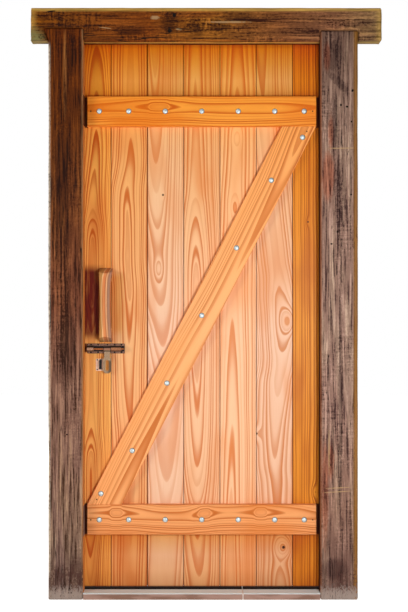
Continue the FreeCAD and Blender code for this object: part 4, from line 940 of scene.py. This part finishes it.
def make_rebate_dirt():
    """Dirt packed into the feet of the rebates, level with the slabs."""
    net = Graph("packed_dirt")
    grit = net.noise(net.stretched(300, 300, 300), detail=3.0)
    net.gloss(MATT)
    dirt = net.finish(net.mix(grit, DIRT_AND_SHADE_TONE, GRIME_AND_SHADE_TONE), 1.0, grit, depth=0.001, strength=0.6)
    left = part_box("threshold_slab_left")[0].x
    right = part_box("threshold_slab_right")[1].x
    back, top = (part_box("threshold_slab_left")[1][axis] - DIRT_SUNK for axis in (1, 2))
    for side, sides in (("left", (left - REBATE_WIDE, left)), ("right", (right, right + REBATE_WIDE))):
        corners = [(x, y, z) for x in sides for y in (REBATE_FRONT, back) for z in (0.0, top)]
        mesh = bpy.data.meshes.new(f"rebate_dirt_{side}")
        mesh.from_pydata(corners, [], BOX_FACES)
        mesh.materials.append(dirt)
        piece = add_object(f"rebate_dirt_{side}", mesh)
        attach(piece, NODES["left_post"]["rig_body"])


def mortar(name):
    net = Graph(name)
    grit = net.noise(net.stretched(500, 500, 500), detail=3.0)
    body = net.mix(grit, tone(206, 198, 190), tone(238, 232, 226))
    return net.finish(body, 0.9, grit, depth=0.0006, strength=0.6)


METAL_GLOSS = 0.25
METAL_RELIEF = 0.00025


def metal(name, plain, worn, wear_scale, roughness, share, metallic, paint=None):
    """Bare or patinated metal, rubbed bright in patches. paint changes the finished tone."""
    net = Graph(name)
    plain, worn = tone(*plain), tone(*worn)
    patch = net.noise(net.stretched(wear_scale, wear_scale, wear_scale), detail=4.0, roughness=0.6)
    grain = net.noise(net.stretched(900, 900, 900), detail=2.0)
    body = net.mix(patch.rise(0.5 - share * 0.25, 0.72 - share * 0.25), plain, worn)
    body = net.mix(grain * 0.25, body, plain)
    if paint is not None:
        body = paint(net, body)
    net.shader.inputs["Metallic"].default_value = metallic
    net.gloss(METAL_GLOSS)
    return net.finish(body, grain * 0.14 + roughness, grain + patch * 0.8, METAL_RELIEF, strength=0.4)


HEAD_HIGH = 0.0046
RIM_TONE = tone(62, 84, 88)
# Near-black for packed dirt and for the painted shade in and around the bolt's rod
GRIME_AND_SHADE_TONE = tone(8, 4, 4)
PLATE_LOW, PLATE_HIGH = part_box("bolt_backplate")
FLAP_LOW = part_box("hasp_flap")[0]
ROD_LEVEL = (PLATE_LOW.z + PLATE_HIGH.z) / 2
# The backplate's dark outline, and how far the black of painted shade reaches up and down behind the rod
PLATE_LINE = 0.0022
BLACK_UP = 0.0098
BLACK_DOWN = -0.0118
BLACK_STEP = 0.001
# The backplate's screws: how far from its edges, at which shares of its length, with what halo
SCREW_EDGE = 0.0043
SCREW_SHARES = (0.1, 0.29, 0.54, 0.73, 0.91)
SCREW_HALO = 0.0042
# Heights from the rod's middle: where the cuffs' painted brown shade ends and their painted black shade
# begins, and the flap's dark line of painted shade
CUFF_BROWN = (-0.0075, -0.0045)
CUFF_BLACK = (0.003, 0.006)
FLAP_LINE = (-0.0125, -0.0095, -0.0065)
BLACK_TOP = (0.001, 0.0025)
STAPLE_BLACK_PATCH = ((-0.3905, 0.86), (-0.381, 0.899))
# On the hasp: how high its ring reaches over its toe, and the lower side of its barrel
RING_TOP = 0.05
RING_SIDE = (0.012, 0.026)
BARREL_FOOT = -0.006
RING_TONE = tone(84, 64, 44)
BARREL_TONE = tone(150, 92, 70)


def darker_rim(net, body):
    """The rims of the domed bolt heads on the ledges are a darker grey than their middles."""
    down = (net.y - (LEDGE_FRONT - HEAD_HIGH)) / HEAD_HIGH
    return net.mix(down.rise(0.3, 0.95) * 0.85, body, RIM_TONE)


def near_screws(net):
    """1 close round the backplate's two rows of screws."""
    half = (PLATE_HIGH.z - PLATE_LOW.z) / 2 - SCREW_EDGE
    rise = (net.z - ROD_LEVEL).size() - half
    close = net.x * 0
    for share in SCREW_SHARES:
        side = net.x - (PLATE_LOW.x + (PLATE_HIGH.x - PLATE_LOW.x) * share)
        close = close.most((side.squared() + rise.squared()).fall((SCREW_HALO * 0.6) ** 2, SCREW_HALO ** 2))
    return close


def plate_shade_and_grime(net, body):
    """Painted shade behind the rod, black along the outline and round the screws; rubbed bright in between.
    """
    up = net.z - ROD_LEVEL
    band = up.fall(BLACK_UP - BLACK_STEP, BLACK_UP) * up.rise(BLACK_DOWN, BLACK_DOWN + BLACK_STEP)
    high = edge_of(net.z, PLATE_HIGH.z, PLATE_LINE).most(edge_of(net.z, PLATE_LOW.z, PLATE_LINE))
    wide = edge_of(net.x, PLATE_HIGH.x, PLATE_LINE).most(edge_of(net.x, PLATE_LOW.x, PLATE_LINE * 1.5))
    outline = high.most(wide).rise(0.0, 0.6) * 0.8
    return net.mix(band.most(outline).most(near_screws(net)), body, GRIME_AND_SHADE_TONE)


def cuff_shade(net, body):
    """Painted shade: the cuffs are black along their upper bend and brown along their lower one."""
    up = net.z - ROD_LEVEL
    body = net.mix(up.fall(*CUFF_BROWN) * 0.7, body, GRIME_AND_SHADE_TONE)
    return net.mix(up.rise(*CUFF_BLACK) * 0.95, body, GRIME_AND_SHADE_TONE)


def rod_top_shade(net, body):
    """Painted shade: the rod is black along its upper side."""
    return net.mix((net.z - ROD_LEVEL).rise(*BLACK_TOP) * 0.95, body, GRIME_AND_SHADE_TONE)


def staple_black_patch(net, body):
    """Black round the feet of the staple."""
    return net.mix(patch_of(net, *STAPLE_BLACK_PATCH, SLOT_SOFT), body, GRIME_AND_SHADE_TONE)


def flap_tones_and_shade(net, body):
    """The hasp's barrel is pinkish, its strap olive and its ring a darker grey; painted shade blackens what
    lies above the rod's middle and draws a dark line under the barrel.
    """
    ring = net.z.fall(FLAP_LOW.z + RING_TOP - 0.006, FLAP_LOW.z + RING_TOP + 0.004)
    up = net.z - ROD_LEVEL
    barrel = up.rise(BARREL_FOOT, BARREL_FOOT + 0.002)
    right = (net.x - FLAP_LOW.x).rise(*RING_SIDE) * 0.8
    body = net.mix(ring * (right + 0.15), body, RING_TONE)
    body = net.mix(barrel * 0.7, body, BARREL_TONE)
    line = up.fall(*FLAP_LINE[1:]) * up.rise(*FLAP_LINE[:2])
    return net.mix(up.rise(*BLACK_TOP).most(line) * 0.9, body, GRIME_AND_SHADE_TONE)


# The bolt's pieces, their dull and rubbed tones, how metallic they are and what is painted on them
LATCH_LOOKS = (
    ("bolt_backplate", (80, 52, 41), (160, 120, 99), 0.25, plate_shade_and_grime),
    ("bolt_left_cuff", (138, 96, 72), (190, 146, 116), 0.25, cuff_shade),
    ("bolt_right_cuff", (104, 64, 44), (176, 118, 78), 0.25, cuff_shade),
    ("bolt_rod", (110, 54, 22), (176, 104, 54), 0.3, rod_top_shade),
    ("rod_collars", (48, 26, 20), (112, 78, 64), 0.3, rod_top_shade),
    ("hasp_flap", (122, 94, 68), (176, 150, 122), 0.2, flap_tones_and_shade),
    # The staple plate's tones are painted lighter than its metal, as painted light that makes up for the
    # hasp's shadow on it.
    ("staple_plate", (250, 186, 150), (255, 236, 218), 0.05, staple_black_patch),
    ("staple", (8, 8, 14), (18, 18, 28), 0.1, None),
    ("bolt_plate_screws", (14, 6, 6), (30, 18, 16), 0.2, None),
    ("staple_screws", (14, 6, 6), (30, 18, 16), 0.2, None),
)

MATERIALS = {}


def make_materials():
    for index, figure in enumerate(BOARD_FIGURES, start=1):
        MATERIALS[f"plank_{index}"] = pine(f"pine_board_{index}", upright(LEAF_FRONT), figure, board_tint)
    along_ledge = lying(LEDGE_FRONT)
    MATERIALS["top_ledge"] = pine("pine_top_ledge", along_ledge, TOP_LEDGE_FIGURE, ledge_tint)
    MATERIALS["bottom_ledge"] = pine("pine_bottom_ledge", along_ledge, BOTTOM_LEDGE_FIGURE, ledge_tint)
    MATERIALS["brace"] = pine("pine_brace", slanting, BRACE_FIGURE, ledge_tint)
    steel = metal("zinc_steel", (150, 166, 172), (196, 208, 212), 160, 0.3, 0.6, 0.55, darker_rim)
    nail = metal("rusty_nail", (34, 10, 4), (64, 24, 12), 300, 0.8, 0.3, metallic=0.1)
    iron = metal("black_iron", (38, 36, 36), (92, 86, 82), 60, 0.45, 0.3, metallic=0.8)
    by_slot = {"bolt_steel": steel, "nail_iron": nail, "hinge_iron": iron}
    by_slot["threshold_stone"] = stone("reddish_slab", (226, 240, 244), (138, 106, 92), (170, 138, 126))
    by_slot["mortar"] = mortar("pale_mortar")
    for node, slot in SLOTS.items():
        if slot in by_slot:
            MATERIALS[node] = by_slot[slot]
    for node, plain, worn, metallic, paint in LATCH_LOOKS:
        MATERIALS[node] = metal(f"patina_of_{node}", plain, worn, 420, 0.42, 0.5, metallic, paint)


def dress_nodes():
    for name, material in MATERIALS.items():
        mesh = NODES[name].data
        mesh.materials.clear()
        mesh.materials.append(material)


def make_worn_pieces():
    post_lay, beam_lay = upright(BEAM_FRONT), lying(BEAM_FRONT)
    left = old_timber("old_left_post", post_lay, LEFT_POST_LOOK, left_arris, left_reveal, left_foot)
    right = old_timber("old_right_post", post_lay, RIGHT_POST_LOOK, right_arris, right_reveal, right_foot)
    beam = old_timber("old_lintel", beam_lay, LINTEL_LOOK, beam_arris, beam_reveal, beam_foot)
    grip = pine("worn_handle", upright(HANDLE_FRONT), HANDLE_FIGURE, handle_tint)
    worn = (
        ("left_post", TIMBER_GRID, timber_wear(2, POST_BASE), left),
        ("right_post", TIMBER_GRID, timber_wear(2, POST_BASE), right),
        ("lintel", TIMBER_GRID, timber_wear(0, BEAM_BASE), beam),
        ("pull_handle", HANDLE_GRID, soft_wear, grip),
    )
    for node, grid, wear, material in worn:
        piece = worn_copy(node, f"worn_{node}", grid, wear, material)


# Studio

FLOOR_HALF_WIDE = 9.0
# What the floor adds, for the camera, to the light that it scatters
FLOOR_GLOW = 0.93
WHITE = (1.0, 1.0, 1.0, 1.0)
# The world's light on the object, and its colour
AMBIENT = 0.08
AMBIENT_GLOW = (1.0, 0.82, 0.64, 1.0)
# Soft lamps: name, place, point aimed at, width, power in watts and colour
LAMPS = (
    ("key", (0.8, -2.4, 1.0), (0.0, 0.0, 1.05), 0.6, 42.0, (1.0, 1.0, 1.0)),
    ("fill", (-3.4, -2.9, 1.5), (0.0, 0.0, 1.1), 1.4, 70.0, (1.0, 0.9, 0.78)),
    ("back", (-2.2, 4.2, 2.8), (0.0, 0.0, 1.1), 2.5, 150.0, (1.0, 1.0, 1.0)),
)


def make_floor():
    """A pale floor that the camera sees as white, apart from the door's shadow."""
    mesh = bpy.data.meshes.new("floor")
    side = FLOOR_HALF_WIDE
    corners = [(-side, -side, 0), (side, -side, 0), (side, side, 0), (-side, side, 0)]
    mesh.from_pydata(corners, [], [(0, 1, 2, 3)])
    floor = add_object("floor", mesh)
    net = Graph("pale_floor")
    grain = net.noise(net.stretched(40, 40, 40))
    pale = net.mix(grain, tone(232, 232, 232), tone(240, 240, 240))
    net.finish(pale, 0.9)
    glow = net.node("Emission")
    net.feed(glow.inputs["Strength"], seen_rays(net) * FLOOR_GLOW)
    both = net.node("AddShader")
    net.tree.links.new(net.shader.outputs["BSDF"], both.inputs[0])
    net.tree.links.new(glow.outputs["Emission"], both.inputs[1])
    out = net.tree.nodes["Material Output"]
    net.tree.links.new(both.outputs["Shader"], out.inputs["Surface"])
    mesh.materials.append(net.material)


def seen_rays(net):
    """1 for what the camera sees, directly, in gloss or through glass."""
    path = net.node("LightPath")
    camera = Signal(net, path.outputs["Is Camera Ray"])
    glossy = Signal(net, path.outputs["Is Glossy Ray"])
    through = Signal(net, path.outputs["Is Transmission Ray"])
    return camera.most(glossy).most(through)


def make_world():
    """White to the camera, and a dim warm light on the object."""
    world = bpy.data.worlds.new("studio")
    bpy.context.scene.world = world
    world.use_nodes = True
    net = Tree(world.node_tree)
    seen = seen_rays(net)
    background = net.tree.nodes["Background"]
    net.feed(background.inputs["Strength"], seen * (1 - AMBIENT) + AMBIENT)
    net.feed(background.inputs["Color"], net.mix(seen, AMBIENT_GLOW, WHITE))


def make_lamps():
    for name, place, target, width, power, glow in LAMPS:
        light = bpy.data.lights.new(name, "AREA")
        light.size = width
        light.energy = power
        light.color = glow
        lamp = add_object(name, light)
        lamp.location = place
        aim = Vector(target) - Vector(place)
        lamp.rotation_euler = aim.to_track_quat("-Z", "Y").to_euler()


def make_camera():
    data = bpy.data.cameras.new("camera")
    data.sensor_fit = "VERTICAL"
    data.sensor_height = SENSOR_HEIGHT
    data.lens = CAMERA_LENS
    camera = add_object("camera", data)
    camera.location = CAMERA_PLACE
    camera.rotation_euler = (math.radians(90), 0, 0)
    bpy.context.scene.camera = camera


make_camera()
make_materials()
dress_nodes()
make_worn_pieces()
make_rebate_dirt()
make_floor()
make_world()
make_lamps()
bpy.context.scene.view_settings.view_transform = "Standard"
